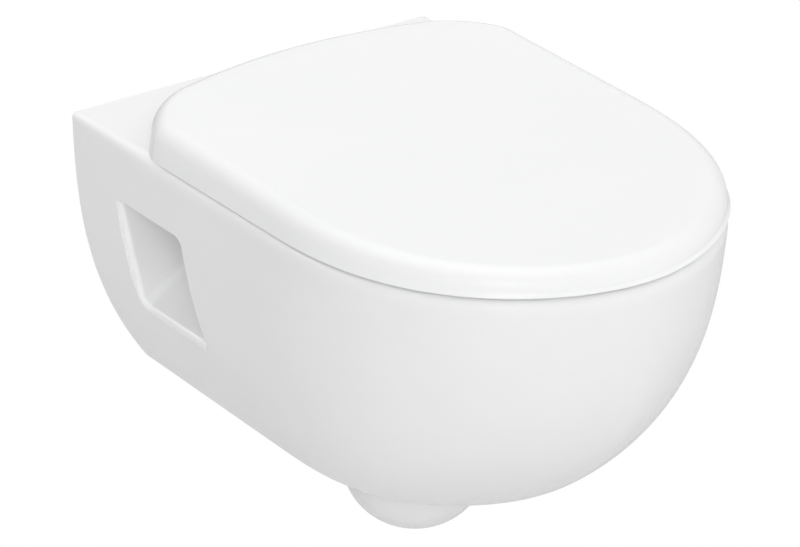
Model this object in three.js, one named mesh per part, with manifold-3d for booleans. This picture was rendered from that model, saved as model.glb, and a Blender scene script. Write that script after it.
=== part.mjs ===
// A wall hung toilet: a rimless ceramic pan with a hand recess in each side, and a soft closing
// seat and lid on two quick release hinges. Millimetres, +Z up, the front towards -Y.
// The origin lies on the wall, midway between the two studs that hold the pan.

import * as THREE from 'three';
import { mergeVertices } from 'three/addons/utils/BufferGeometryUtils.js';
import Module from 'manifold-3d';

const wasm = await Module();
wasm.setup();

// General
const overrun = 5; // how far a cutter runs past what it cuts
const gap = 0.3; // left between two pieces that touch

// Pan, outside
const panWidth = 360;
const panDepth = 520;
const rimHeight = 85; // the flat top above the wall studs
const skirtDrop = 243.3; // from the flat top to the skirt's foot
const footWidth = 233;
const footDepth = 385.5;
const rimStraight = 291; // where the sides start to turn in, from the wall
const footStraight = 203;
const sidePower = 2.67; // how late the sides curve in towards the foot
const frontPower = 2.84;
const rimNose = { along: 2.44, across: 1.84 }; // roundness of the nose at the rim
const footNose = { along: 2.91, across: 1.51 };
const rimFillet = 5;
const footFillet = 3;
const panWall = 12;
const ledgeThickness = 27; // of the flat top over the hollow

// Bowl, trap and water ways
const bowlWidth = 272;
const bowlBack = 152; // from the wall, at the rim
const bowlFrontRim = 42; // width of the rim in front of the bowl
const bowlDepth = 302;
const sumpBack = 243; // centre of the deepest point, from the wall
const bowlProfile = { down: 1.4, out: 1.15 };
const bowlLip = 6; // fillet round the bowl's mouth
const bowlFloorShare = 0.985; // of its depth, where the floor is flat
const wasteDrop = 100; // waste outlet below the studs
const spigotRadius = 51;
const spigotBore = 41;
const spigotSetback = 8; // the waste outlet ends short of the wall
const bellyRadius = 61;
const bellyBack = 229;
const bellyDrop = 193;
const bellyStretch = 1.04; // along the trap
const bellyTilt = 0.6; // rising towards the wall, in radians
const trapWeb = 30; // half width of the web between the bowl and the trap
const inletRise = 35; // flush inlet above the studs
const inletRadius = 27.5;
const inletDepth = 38;
const inletNeck = 23;
const flushSlot = { halfWidth: 38, halfHeight: 8, rise: 52 };
const flushBlend = 0.82; // how far the way has settled at its two middle stops

// Back of the pan
const studSpacing = 180;
const studHole = 9; // radius
const backBlock = 56; // thickness of the cast back
const backBlockFoot = -42;
const hollowDepth = 40; // pockets cast into the back
const hollowHalfWidth = 150;
const hollowFoot = -31;
const studBoss = 26;
const inletBoss = 41;
const backCentre = 43; // half width of the cast back's middle, round the inlet
const wallBar = 14; // half height of the bar between the studs

// Hand recess, given at its deep end, with the slopes that widen it to its mouth
const recessRear = 62;
const recessFront = 128;
const recessFloor = -21;
const recessTop = 25;
const recessEnd = 60; // from the middle
const recessSlopes = { rear: 0.01, front: 0.3, floor: 0.6, top: 0.055 };
const recessCorner = 9;
const recessWall = 10;

// Waste way and its wall, from the belly (0) to the outlet (1): how far along, how far up, and the half
// width and half height as shares of the outlet's
const wasteWayShares = [
  [-0.05, -0.04, 0.8, 0.59],
  [0, -0.21, 0.85, 0.61],
  [0.15, -0.12, 0.85, 0.63],
  [0.28, 0.16, 0.88, 0.66],
  [0.39, 0.46, 0.9, 0.68],
  [0.51, 0.76, 0.93, 0.78],
  [0.65, 0.95, 0.98, 0.9],
  [0.78, 1, 1, 1],
  [1, 1, 1, 1],
];
const trapWallShares = [
  [-0.18, 0.68, 0.86, 0.86],
  [-0.07, 0.27, 1.06, 1.06],
  [0, 0, 1.2, 1.2],
  [0.18, 0.1, 1.06, 0.98],
  [0.34, 0.44, 1, 0.9],
  [0.51, 0.76, 0.98, 0.9],
  [0.65, 0.95, 1, 0.96],
  [0.78, 1, 1, 1],
  [0.85, 1, 1, 1],
  [1, 1, 1, 1],
];

// Lid
const lidOverhang = 1.3; // past the pan's side
const lidBack = 49; // middle of its back edge, from the wall
const lidBow = 11; // how far the back edge falls away at the sides
const lidCorner = 82;
const lidGap = 1.2; // between the lid's edge and the rim
const lidFrontHeight = 18;
const lidBackHeight = 33;
const lidRound = 15; // of its upper edge
const lidDraft = 2.3;
const lidCrown = 2.5;
const lidWall = 4;

// Seat
const seatBack = 106;
const seatCorner = 55;
const seatClear = 2.8; // between seat and lid
const seatRise = 3; // underside above the rim
const seatMouthWidth = 226;
const seatMouthBack = 152;
const seatMouthFront = 440;
const seatDish = 2.5; // fall of the top towards the mouth
const seatInnerRound = 5;

// Hinges
const axisBack = 70; // hinge axis from the wall
const axisRise = 20; // above the rim
const postSpacing = 155;
const postWidth = 14;
const postRear = 6.5; // behind the axis
const postFront = 12.5; // in front of the axis
const eyeRadius = 9;
const eyeClear = 0.6; // between the lid and an eye
const lidLipRise = 9; // the lid's back lip over the hinges, above the axis
const lidSkirtRise = -3; // its back skirt beyond the hinges, from the axis
const lidSkirtBack = 78; // where the side skirt ends, from the wall
const lipHalfWidth = 112;
const pinRadius = 3;
const sideGap = 1.5; // between a knuckle and its post
const outerKnuckle = 7; // radius of the two short knuckles
const longKnuckle = 48;
const shortKnuckle = 22;
const knuckleWall = 1.7;
const pinInDamper = 24;
const pinInBush = 21;
const armBelow = 8;
const armAbove = 4;
const armFront = 118; // from the wall
const lugBack = 7; // of the lid's lugs, behind the axis
const lipBack = 5; // where the lid's back lip is cut away under it, behind the axis
const hingeHoleBack = 72;
const hingeHoleRadius = 7;
const rosetteRadius = 23;
const rosetteHeight = 3.2;
const rosetteRound = 1.2;
const seatStudRadius = 3;
const collarRadius = 4.4;
const collarHeight = 1;
const headRadius = 5;
const headRise = 2.6; // of the head's underside above the rosette
const headHeight = 3.5;
const headTaper = 1.6;
const socketRadius = 5.5; // in the post, over the head
const postNose = 8.7; // height of the post's front face
const studPastWing = 4;
const coneFoot = 4.6; // least radius of the rubber cone
const cupWall = 1.4;
const nutPocketRadius = 20;
const nutPocketTop = 60;
const coneLength = 12;
const cupRadius = 14;
const cupHeight = 3;
const wingHubRadius = 6.5;
const wingHubHeight = 9;
const wingSpan = 16;
const wingThickness = 3;
const buttonWidth = 8;
const buttonHeight = 6;
const buttonDepth = 4;
const buttonProud = 2.5;
const buttonTravel = 2;
const buttonRise = 1.6; // above the foot of the post

// Wall fixings
const wallStudRadius = 6;
const wallStudInWall = 40;
const sleeveFlange = 14;
const sleeveFlangeThickness = 3;
const sleeveLength = 42;
const washerRadius = 14;
const washerThickness = 2.5;
const nutAcross = 18;
const nutHeight = 10;
const studPastNut = 12;
const capWall = 2;
const capClear = 1.2; // round the nut and past the stud
const sleeveWall = 2.4;

// Seals and buffers
const sealWall = 3.5;
const inletSealLength = 26;
const outletSealLength = 20;
const sealLip = 1.5;
const sealSetback = 2; // of the inlet seal in its bore
const bufferLength = 24;
const bufferWidth = 12;
const bufferStem = 2.6;
const bufferStemLength = 3;
const lidBufferRadius = 7;
const rearBufferInset = 25; // from the pan's side
const rearBufferBack = 94; // from the back of the seat
const frontBufferInset = 44; // from the pan's front
const frontBufferShare = 0.42; // of the pan's half width
const lidBufferInset = 46; // from the pan's front
const lidBufferShare = 0.4; // of the pan's half width

// Steps of the curved surfaces
const noseSteps = 12;
const skirtSteps = 10;
const filletSteps = 3;
const bowlSides = 36;
const bowlSteps = 9;
const bowlStepPower = 0.9; // closer rings towards the floor
const cornerSteps = 3;
const stepsPerStop = 2;
const tubeSides = 24;
const roundSides = 24;
const backSteps = 4;
const turnSteps = 6;
const roundSteps = 5;
const crownShares = [0.75, 0.45, 0.15];
const topShares = [0.35, 0.7];
const smallSides = 12;
const hexSides = 6;

// Sizes that follow from those above
const panHalf = panWidth / 2;
const lidEdge = rimHeight + lidGap;
const footLevel = rimHeight - skirtDrop;
const axisHeight = rimHeight + axisRise;
const lidHalf = panHalf + lidOverhang;
const bowlFront = panDepth - bowlFrontRim;
const bowlMiddle = (bowlBack + bowlFront) / 2;
const bowlHalfLength = (bowlFront - bowlBack) / 2;
const rosetteTop = rimHeight + gap + rosetteHeight;
const postFoot = rosetteTop + gap;
const headTop = rosetteTop + headRise + headHeight;

const mix = (a, b, t) => a + (b - a) * t;

// Materials
const glaze = new THREE.MeshStandardMaterial({ color: 0xf1f1f0, roughness: 0.12, metalness: 0 });
const seatPlastic = new THREE.MeshStandardMaterial({ color: 0xf5f5f5, roughness: 0.22, metalness: 0 });
const steel = new THREE.MeshStandardMaterial({ color: 0xc4c6c8, roughness: 0.3, metalness: 1 });
const polished = new THREE.MeshStandardMaterial({ color: 0xd9dbdd, roughness: 0.12, metalness: 1 });
const greyPlastic = new THREE.MeshStandardMaterial({ color: 0x9a9da0, roughness: 0.5, metalness: 0 });
const whitePlastic = new THREE.MeshStandardMaterial({ color: 0xececea, roughness: 0.45, metalness: 0 });
const rubber = new THREE.MeshStandardMaterial({ color: 0x2b2c2d, roughness: 0.85, metalness: 0 });
const paleRubber = new THREE.MeshStandardMaterial({ color: 0xd8d8d4, roughness: 0.8, metalness: 0 });

const toilet = new THREE.Group();

function place(name, geometry, material) {
  const mesh = new THREE.Mesh(geometry, material);
  mesh.name = name;
  toilet.add(mesh);
  return mesh;
}

function eachSide(visit) {
  visit(-1, 'left');
  visit(1, 'right');
}

// The two ends along X of what lies on one side, from the one nearer the middle
const endsOf = (side, inner, length) => [side * inner, side * (inner + length)].sort((a, b) => a - b);

// Mesh tools

// Makes a geometry from points and triangles, turned so that its faces point outwards
function closedMesh(points, triangles) {
  let volume = 0;
  for (const [a, b, c] of triangles) {
    volume += points[a].dot(new THREE.Vector3().crossVectors(points[b], points[c]));
  }
  const index = triangles.flatMap(([a, b, c]) => (volume > 0 ? [a, b, c] : [a, c, b]));
  const geometry = new THREE.BufferGeometry();
  geometry.setAttribute('position', new THREE.Float32BufferAttribute(points.flatMap((p) => p.toArray()), 3));
  geometry.setIndex(index);
  return geometry;
}

// Two triangles for each cell between neighbouring rings of points
function ringBands(count, size, closed) {
  const triangles = [];
  for (let j = 0; j < (closed ? count : count - 1); j += 1) {
    const near = j * size;
    const far = ((j + 1) % count) * size;
    for (let i = 0; i < size; i += 1) {
      const next = (i + 1) % size;
      triangles.push([near + i, near + next, far + next], [near + i, far + next, far + i]);
    }
  }
  return triangles;
}

// A solid skin over rings of points, with a fan over each end
function loft(rings) {
  const size = rings[0].length;
  const points = rings.flat();
  const triangles = ringBands(rings.length, size, false);
  for (const end of [0, rings.length - 1]) {
    const middle = new THREE.Vector3();
    rings[end].forEach((p) => middle.add(p));
    points.push(middle.divideScalar(size));
    for (let i = 0; i < size; i += 1) {
      const edge = [end * size + i, end * size + ((i + 1) % size)];
      triangles.push([points.length - 1, ...(end === 0 ? edge.reverse() : edge)]);
    }
  }
  return closedMesh(points, triangles);
}

// A skin over rings that come round to the first again, such as a seat
function ringLoft(rings) {
  return closedMesh(rings.flat(), ringBands(rings.length, rings[0].length, true));
}

// A revolved piece: the profile's points are [radius, place along the axis]
function turned(profile, axis, at, sides = roundSides) {
  const points = profile.map(([radius, along]) => new THREE.Vector2(radius, along));
  if (profile[0][0] > 0) {
    points.push(points[0].clone());
  }
  const lathe = new THREE.LatheGeometry(points, sides);
  if (axis === 'x') {
    lathe.rotateZ(-Math.PI / 2);
  }
  if (axis === 'z') {
    lathe.rotateX(Math.PI / 2);
  }
  lathe.translate(...at);
  return tidy(lathe);
}

// Merges shared points, drops empty triangles and turns the faces outwards
function tidy(source) {
  const geometry = source.clone();
  geometry.deleteAttribute('normal');
  geometry.deleteAttribute('uv');
  const merged = mergeVertices(geometry, 1e-4);
  const position = merged.getAttribute('position');
  const points = [];
  for (let i = 0; i < position.count; i += 1) {
    points.push(new THREE.Vector3().fromBufferAttribute(position, i));
  }
  const triangles = [];
  const index = merged.getIndex().array;
  for (let i = 0; i < index.length; i += 3) {
    const [a, b, c] = index.slice(i, i + 3);
    if (a !== b && b !== c && c !== a) {
      triangles.push([a, b, c]);
    }
  }
  return closedMesh(points, triangles);
}

function rod(radius, from, to, axis, at, sides = roundSides) {
  return turned([[0, from], [radius, from], [radius, to], [0, to]], axis, at, sides);
}

// A block between two corners
function block(low, high) {
  const box = new THREE.BoxGeometry(high[0] - low[0], high[1] - low[1], high[2] - low[2]);
  box.translate((low[0] + high[0]) / 2, (low[1] + high[1]) / 2, (low[2] + high[2]) / 2);
  return box;
}

function solid(geometry) {
  const clean = tidy(geometry);
  return new wasm.Manifold(new wasm.Mesh({
    numProp: 3,
    vertProperties: new Float32Array(clean.getAttribute('position').array),
    triVerts: new Uint32Array(clean.getIndex().array),
  }));
}

function geometryOf(manifold) {
  const mesh = manifold.getMesh();
  const geometry = new THREE.BufferGeometry();
  geometry.setAttribute('position', new THREE.BufferAttribute(mesh.vertProperties, 3));
  geometry.setIndex(new THREE.BufferAttribute(mesh.triVerts, 1));
  return geometry;
}

const joined = (geometries) => geometries.map(solid).reduce((whole, piece) => whole.add(piece));
const without = (body, cuts) => cuts.reduce((rest, cut) => rest.subtract(cut), body);

// Pan

// Half of a plan outline's nose, from the side (0) to the middle (1), as [half width, from the wall]
function nosePoint(half, straight, front, nose, turn) {
  const angle = (turn * Math.PI) / 2;
  const across = half * Math.cos(angle) ** (2 / nose.across);
  const along = straight + (front - straight) * Math.sin(angle) ** (2 / nose.along);
  return [turn === 1 ? 0 : across, along];
}

// The pan's plan at a share of the way down its skirt, drawn in by an inset but not at the wall
function skirtRing(drop, inset, level) {
  const nose = {
    along: mix(rimNose.along, footNose.along, drop),
    across: mix(rimNose.across, footNose.across, drop),
  };
  const half = mix(panWidth, footWidth, drop ** sidePower) / 2 - inset;
  const front = mix(panDepth, footDepth, drop ** frontPower) - inset;
  const straight = mix(rimStraight, footStraight, drop);
  const side = [[half, 0], [half, straight / 2]];
  for (let i = 0; i <= noseSteps; i += 1) {
    side.push(nosePoint(half, straight, front, nose, i / noseSteps));
  }
  const other = side.slice(0, -1).reverse().map(([x, y]) => [-x, y]);
  return [...side, ...other].map(([x, y]) => new THREE.Vector3(x, -y, level));
}

// Rings from the flat top over its fillet, down the skirt and round the fillet at its foot
function panOutside() {
  const rings = [];
  for (let i = 0; i <= filletSteps; i += 1) {
    const angle = ((i / filletSteps) * Math.PI) / 2;
    const fall = rimFillet * (1 - Math.cos(angle));
    rings.push(skirtRing(fall / skirtDrop, rimFillet * (1 - Math.sin(angle)), rimHeight - fall));
  }
  for (let i = 1; i <= skirtSteps; i += 1) {
    const fall = mix(rimFillet, skirtDrop - footFillet, i / skirtSteps);
    rings.push(skirtRing(fall / skirtDrop, 0, rimHeight - fall));
  }
  for (let i = 1; i <= filletSteps; i += 1) {
    const angle = ((i / filletSteps) * Math.PI) / 2;
    const fall = skirtDrop - footFillet * (1 - Math.sin(angle));
    rings.push(skirtRing(fall / skirtDrop, footFillet * (1 - Math.cos(angle)), rimHeight - fall));
  }
  return loft(rings);
}

// The skirt's half width at a level
const skirtHalf = (level) => mix(panWidth, footWidth, ((rimHeight - level) / skirtDrop) ** sidePower) / 2;

// The room inside the skirt and under the flat top, drawn in by a clearance. It is open below and
// to the wall.
function room(clearance) {
  const rings = [];
  const ring = (drop, level) => {
    rings.push(skirtRing(drop, panWall + clearance, level).map((p) => (p.y === 0 ? p.setY(overrun) : p)));
  };
  const top = (ledgeThickness + clearance) / skirtDrop;
  for (let i = 0; i <= skirtSteps; i += 1) {
    const drop = mix(top, 1, i / skirtSteps);
    ring(drop, rimHeight - skirtDrop * drop);
  }
  ring(1, footLevel - overrun);
  return solid(loft(rings));
}

// An oval of the bowl at a share of its depth, drawn out by a wall
function bowlRing(down, wall, level) {
  const size = Math.max(1 - down ** bowlProfile.down, 0) ** (1 / bowlProfile.out);
  const middle = mix(bowlMiddle, sumpBack, down ** 2);
  const points = [];
  for (let i = 0; i < bowlSides; i += 1) {
    const angle = (2 * Math.PI * i) / bowlSides;
    const x = (bowlWidth / 2) * size + wall;
    const y = bowlHalfLength * size + wall;
    points.push(new THREE.Vector3(x * Math.cos(angle), -middle + y * Math.sin(angle), level));
  }
  return points;
}

// The bowl's rings from below its lip down to its floor, drawn out by a wall
function bowlRings(wall) {
  const rings = [];
  for (let i = 0; i <= bowlSteps; i += 1) {
    const down = mix(bowlLip / bowlDepth, bowlFloorShare, (i / bowlSteps) ** bowlStepPower);
    rings.push(bowlRing(down, wall, rimHeight - bowlDepth * down));
  }
  return rings;
}

function bowlInside() {
  const lip = [bowlRing(0, bowlLip, rimHeight + overrun)];
  for (let i = 0; i < filletSteps; i += 1) {
    const angle = ((i / filletSteps) * Math.PI) / 2;
    const fall = bowlLip * (1 - Math.cos(angle));
    lip.push(bowlRing(fall / bowlDepth, bowlLip * (1 - Math.sin(angle)), rimHeight - fall));
  }
  return loft([...lip, ...bowlRings(0)]);
}

// A tube along a path in the middle plane: each stop is [from the wall, level, half width, half height]
function wayTube(stops) {
  const points = stops.map(([y, z]) => new THREE.Vector3(0, -y, z));
  const path = new THREE.CatmullRomCurve3(points, false, 'centripetal');
  const rings = [];
  const steps = (stops.length - 1) * stepsPerStop;
  for (let j = 0; j <= steps; j += 1) {
    const t = j / steps;
    const reach = t * (stops.length - 1);
    const stop = Math.min(Math.floor(reach), stops.length - 2);
    const width = mix(stops[stop][2], stops[stop + 1][2], reach - stop);
    const height = mix(stops[stop][3], stops[stop + 1][3], reach - stop);
    const middle = path.getPoint(t);
    const forward = path.getTangent(t);
    const up = new THREE.Vector3(0, forward.z, -forward.y).normalize();
    const ring = [];
    for (let i = 0; i < tubeSides; i += 1) {
      const angle = (2 * Math.PI * i) / tubeSides;
      ring.push(middle.clone()
        .add(new THREE.Vector3(width * Math.cos(angle), 0, 0))
        .addScaledVector(up, height * Math.sin(angle)));
    }
    rings.push(ring);
  }
  return loft(rings);
}

// A run of the trap from its shares, with the radius that it has at the outlet and where that lies
const trapRun = (shares, radius, outlet) => wayTube(shares.map(([along, up, width, height]) => [
  mix(bellyBack, outlet, along),
  mix(-bellyDrop, -wasteDrop, up),
  radius * width,
  radius * height,
]));

// The round of the belly, a little longer than wide
function belly() {
  const ball = new THREE.SphereGeometry(bellyRadius, tubeSides, tubeSides / 2);
  ball.scale(1, bellyStretch, 1);
  ball.rotateX(-bellyTilt);
  ball.translate(0, -bellyBack, -bellyDrop);
  return ball;
}

// The flush water's way from the inlet's neck to a flat slot at the back of the bowl, drawn out by a wall
function flushWay(wall) {
  const { halfWidth, halfHeight, rise } = flushSlot;
  const neck = inletNeck + wall;
  const settled = (a, b) => mix(a, b, flushBlend);
  return wayTube([
    [inletDepth - overrun, inletRise, neck, neck],
    [inletDepth + inletNeck, mix(rise, inletRise, flushBlend), neck, settled(halfHeight, inletNeck) + wall],
    [bowlBack - inletNeck * 2, settled(inletRise, rise), halfWidth * flushBlend + wall,
      settled(inletNeck, halfHeight) + wall],
    [bowlBack + (wall ? 0 : inletNeck), rise, halfWidth + wall, halfHeight + wall],
  ]);
}

// A hand recess, from its deep end outwards, drawn out by a wall: a cutter ends past the pan's side,
// and the housing round it ends in the middle of the skirt's wall
function recess(side, wall) {
  const ringAt = (across, reach) => {
    const out = across - recessEnd;
    const near = recessRear - recessSlopes.rear * out - wall;
    const far = recessFront + recessSlopes.front * out + wall;
    const low = recessFloor - recessSlopes.floor * out - wall;
    const high = recessTop + recessSlopes.top * out + wall;
    const round = recessCorner + wall;
    const middles = [[far - round, high - round], [near + round, high - round],
      [near + round, low + round], [far - round, low + round]];
    const points = [];
    middles.forEach(([y, z], corner) => {
      for (let i = 0; i <= cornerSteps; i += 1) {
        const angle = ((corner + i / cornerSteps) * Math.PI) / 2;
        points.push([y + round * Math.cos(angle), z + round * Math.sin(angle)]);
      }
      const [a, b] = [points[points.length - 1], middles[(corner + 1) % middles.length]];
      const next = ((corner + 1) * Math.PI) / 2;
      const end = [b[0] + round * Math.cos(next), b[1] + round * Math.sin(next)];
      for (let i = 1; i < cornerSteps; i += 1) {
        points.push([mix(a[0], end[0], i / cornerSteps), mix(a[1], end[1], i / cornerSteps)]);
      }
    });
    return points.map(([y, z]) => new THREE.Vector3(side * reach(across, z), -y, z));
  };
  const straight = (across) => across;
  const inSkirt = (across, z) => skirtHalf(z) - panWall / 2;
  return loft([
    ringAt(recessEnd - wall, straight),
    ringAt(wall ? panHalf - panWall : panHalf + overrun, wall ? inSkirt : straight),
  ]);
}

// The pockets cast into the back, round the studs' bosses, the bar between them and the inlet
function backHollows() {
  const low = [-hollowHalfWidth, -hollowDepth, hollowFoot];
  const high = [hollowHalfWidth, overrun, rimHeight - ledgeThickness];
  const stay = [
    rod(inletBoss, -hollowDepth - overrun, overrun * 2, 'y', [0, 0, inletRise]),
    block([-studSpacing / 2, -hollowDepth - overrun, -wallBar], [studSpacing / 2, overrun * 2, wallBar]),
  ];
  for (const side of [-1, 1]) {
    stay.push(rod(studBoss, -hollowDepth - overrun, overrun * 2, 'y', [(side * studSpacing) / 2, 0, 0]));
  }
  return without(solid(block(low, high)), stay.map(solid));
}

// The pan is one casting. Its walls are built apart, a hair's breadth from each other, because each is then
// a simple form: the skirt with the flat top, the cast back in three, the bowl, the trap, the flush way and
// the pocket of each hand recess.
function placePan() {
  const bowlHollow = solid(bowlInside());
  const waste = solid(trapRun(wasteWayShares, spigotBore, -overrun));
  const flush = solid(flushWay(0));
  const inlet = solid(rod(inletRadius, -inletDepth, overrun, 'y', [0, 0, inletRise], tubeSides));
  const recesses = [-1, 1].map((side) => solid(recess(side, 0)));
  const studHoles = [];
  const hingeHoles = [];
  for (const side of [-1, 1]) {
    const hinge = [(side * postSpacing) / 2, -hingeHoleBack, 0];
    const stud = [(side * studSpacing) / 2, 0, 0];
    studHoles.push(solid(rod(studHole, -recessRear - overrun, overrun, 'y', stud)));
    hingeHoles.push(solid(rod(hingeHoleRadius, nutPocketTop - overrun, rimHeight + overrun, 'z', hinge)));
    hingeHoles.push(solid(rod(nutPocketRadius, recessTop, nutPocketTop, 'z', hinge)));
  }
  const outside = solid(panOutside());
  const nearSkirt = outside.subtract(room(gap));
  const nearBowl = solid(loft(bowlRings(panWall + gap)));
  const backBox = (clearance) => solid(block(
    [-panHalf, -backBlock - clearance, backBlockFoot - clearance],
    [panHalf, 0, rimHeight],
  ));

  place('pan_skirt', geometryOf(without(
    outside,
    [room(0), bowlHollow, inlet, flush, ...recesses, ...hingeHoles],
  )), glaze);
  const back = without(
    room(gap).intersect(backBox(0)),
    [backHollows(), inlet, flush, ...studHoles, ...hingeHoles],
  );
  const backBetween = (from, to) => geometryOf(back.intersect(
    solid(block([from, -backBlock - overrun, footLevel], [to, overrun, rimHeight])),
  ));
  place('pan_back', backBetween(-backCentre, backCentre), glaze);
  eachSide((side, name) => place(
    `pan_back_${name}`,
    backBetween(...endsOf(side, backCentre + gap, panHalf)),
    glaze,
  ));
  place('pan_bowl', geometryOf(without(
    solid(loft(bowlRings(panWall))),
    [nearSkirt, bowlHollow, waste, flush],
  )), glaze);
  place('pan_trap', geometryOf(without(joined([
    belly(),
    trapRun(trapWallShares, spigotRadius, spigotSetback),
    block([-trapWeb, -bellyBack, -bellyDrop], [trapWeb, -bellyBack + 2 * trapWeb, -wasteDrop - trapWeb]),
  ]), [nearBowl, waste])), glaze);
  place('pan_flush_way', geometryOf(without(
    solid(flushWay(recessWall)),
    [nearSkirt, nearBowl, backBox(gap), flush],
  )), glaze);
  eachSide((side, name) => {
    const pocket = without(
      solid(recess(side, recessWall)),
      [nearSkirt, nearBowl, backBox(gap), ...recesses, ...studHoles, ...hingeHoles],
    );
    place(`pan_recess_${name}`, geometryOf(pocket), glaze);
  });
}

placePan();

// Lid and seat

// The plan of the lid or the seat, drawn in by an inset, with a level for each distance from the wall.
// It runs from the middle of the back edge round the right side to the front and back on the left.
function coverRing(cover, inset, levelAt) {
  const half = lidHalf - inset;
  const corner = cover.corner - inset;
  const inner = half - corner;
  const back = cover.back + inset;
  const side = [];
  for (let i = 0; i <= backSteps; i += 1) {
    side.push([(inner * i) / backSteps, back + cover.bow * (i / backSteps) ** 2]);
  }
  for (let i = 1; i <= turnSteps; i += 1) {
    const angle = ((i / turnSteps) * Math.PI) / 2;
    side.push([inner + corner * Math.sin(angle), back + cover.bow + corner * (1 - Math.cos(angle))]);
  }
  side.push([half, (side[side.length - 1][1] + rimStraight) / 2]);
  for (let i = 0; i <= noseSteps; i += 1) {
    side.push(nosePoint(half, rimStraight, panDepth - inset, rimNose, i / noseSteps));
  }
  const other = side.slice(1, -1).reverse().map(([x, y]) => [-x, y]);
  return [...side, ...other].map(([x, y]) => new THREE.Vector3(x, -y, levelAt(y)));
}

const lidPlan = { back: lidBack, bow: lidBow, corner: lidCorner };
const seatInset = lidDraft + lidWall + seatClear;
const seatPlan = { back: seatBack - seatInset, bow: 0, corner: seatCorner + seatInset };

// The level of the lid's top at a distance from the wall, before its crown
const lidTop = (y) => lidEdge + mix(lidBackHeight, lidFrontHeight, (y - lidBack) / (panDepth - lidBack));
const lidRoof = (y) => lidTop(y) - lidWall;
const seatTop = (y) => lidRoof(y) - seatClear;

// The lid's bare shell: crown, rounded shoulder and drafted edge, then the same way back inside
function lidSkin() {
  const rings = [];
  const middle = new THREE.Vector3(0, -(lidBack + panDepth) / 2, 0);
  const shrunk = (ring, share, rise) => ring.map((p) => {
    const y = mix(middle.y, p.y, share);
    return new THREE.Vector3(p.x * share, y, lidTop(-y) + rise(share));
  });
  const shoulder = coverRing(lidPlan, lidDraft + lidRound, lidTop);
  [...crownShares].reverse().forEach((share) => {
    rings.push(shrunk(shoulder, share, (s) => lidCrown * (1 - s * s)));
  });
  for (let i = roundSteps; i >= 0; i -= 1) {
    const angle = ((i / roundSteps) * Math.PI) / 2;
    const fall = lidRound * (1 - Math.sin(angle));
    rings.push(coverRing(lidPlan, lidDraft + lidRound * (1 - Math.cos(angle)), (y) => lidTop(y) - fall));
  }
  rings.push(coverRing(lidPlan, 0, () => lidEdge));
  rings.push(coverRing(lidPlan, lidWall, () => lidEdge));
  const inner = lidRound - lidWall;
  for (let i = 0; i <= roundSteps; i += 1) {
    const angle = ((i / roundSteps) * Math.PI) / 2;
    const inset = lidDraft + lidRound - inner * Math.cos(angle);
    rings.push(coverRing(lidPlan, inset, (y) => lidTop(y) - lidRound + inner * Math.sin(angle)));
  }
  rings.push(shrunk(shoulder, crownShares[crownShares.length - 1], () => -lidWall));
  return loft(rings);
}

const longAt = postSpacing / 2 - postWidth / 2 - sideGap - longKnuckle;
const shortAt = postSpacing / 2 + postWidth / 2 + sideGap;
const axisAt = [0, -axisBack, axisHeight];

// The long knuckle nearer the middle holds a damper, and the short one outside its post a bush
const damperKnuckle = { inner: longAt, length: longKnuckle, radius: eyeRadius, end: knuckleWall };
const bushKnuckle = { inner: shortAt, length: shortKnuckle, radius: outerKnuckle, end: 0 };

// Adds a knuckle, its arm and its bore to a body
function withKnuckle(body, side, shape, arm) {
  const [from, to] = endsOf(side, shape.inner, shape.length);
  const [low, high] = shape.end
    ? endsOf(side, shape.inner + shape.end, shape.length)
    : [from - overrun, to + overrun];
  return body.add(solid(rod(shape.radius, from, to, 'x', axisAt)))
    .add(solid(block([from, ...arm(shape).low], [to, ...arm(shape).high])))
    .subtract(solid(rod(shape.radius - knuckleWall, low, high, 'x', axisAt)));
}

function lidShell() {
  const low = rimHeight - overrun;
  const lid = without(solid(lidSkin()), [
    block([-lidHalf, -lidSkirtBack, low], [lidHalf, 0, axisHeight + lidSkirtRise]),
    block([-lipHalfWidth, -axisBack + lipBack, low], [lipHalfWidth, 0, axisHeight + lidLipRise]),
    rod(eyeRadius + eyeClear, -lipHalfWidth, lipHalfWidth, 'x', axisAt),
  ].map(solid));
  const arm = ({ radius }) => ({
    low: [-axisBack - radius, axisHeight],
    high: [-axisBack + Math.min(radius, lugBack), lidRoof(axisBack) + lidWall / 4],
  });
  return withKnuckle(withKnuckle(lid, 1, damperKnuckle, arm), -1, bushKnuckle, arm);
}

// The point of the seat's mouth that lies in the same direction as a point of its outline
function mouthPoint(p, growth, level) {
  const middle = (seatMouthBack + seatMouthFront) / 2;
  const [x, y] = [p.x, -p.y - middle];
  const half = seatMouthWidth / 2 + growth;
  const long = (seatMouthFront - seatMouthBack) / 2 + growth;
  const reach = 1 / Math.hypot(x / half, y / long);
  return new THREE.Vector3(x * reach, -(middle + y * reach), level(middle + y * reach));
}

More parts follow.
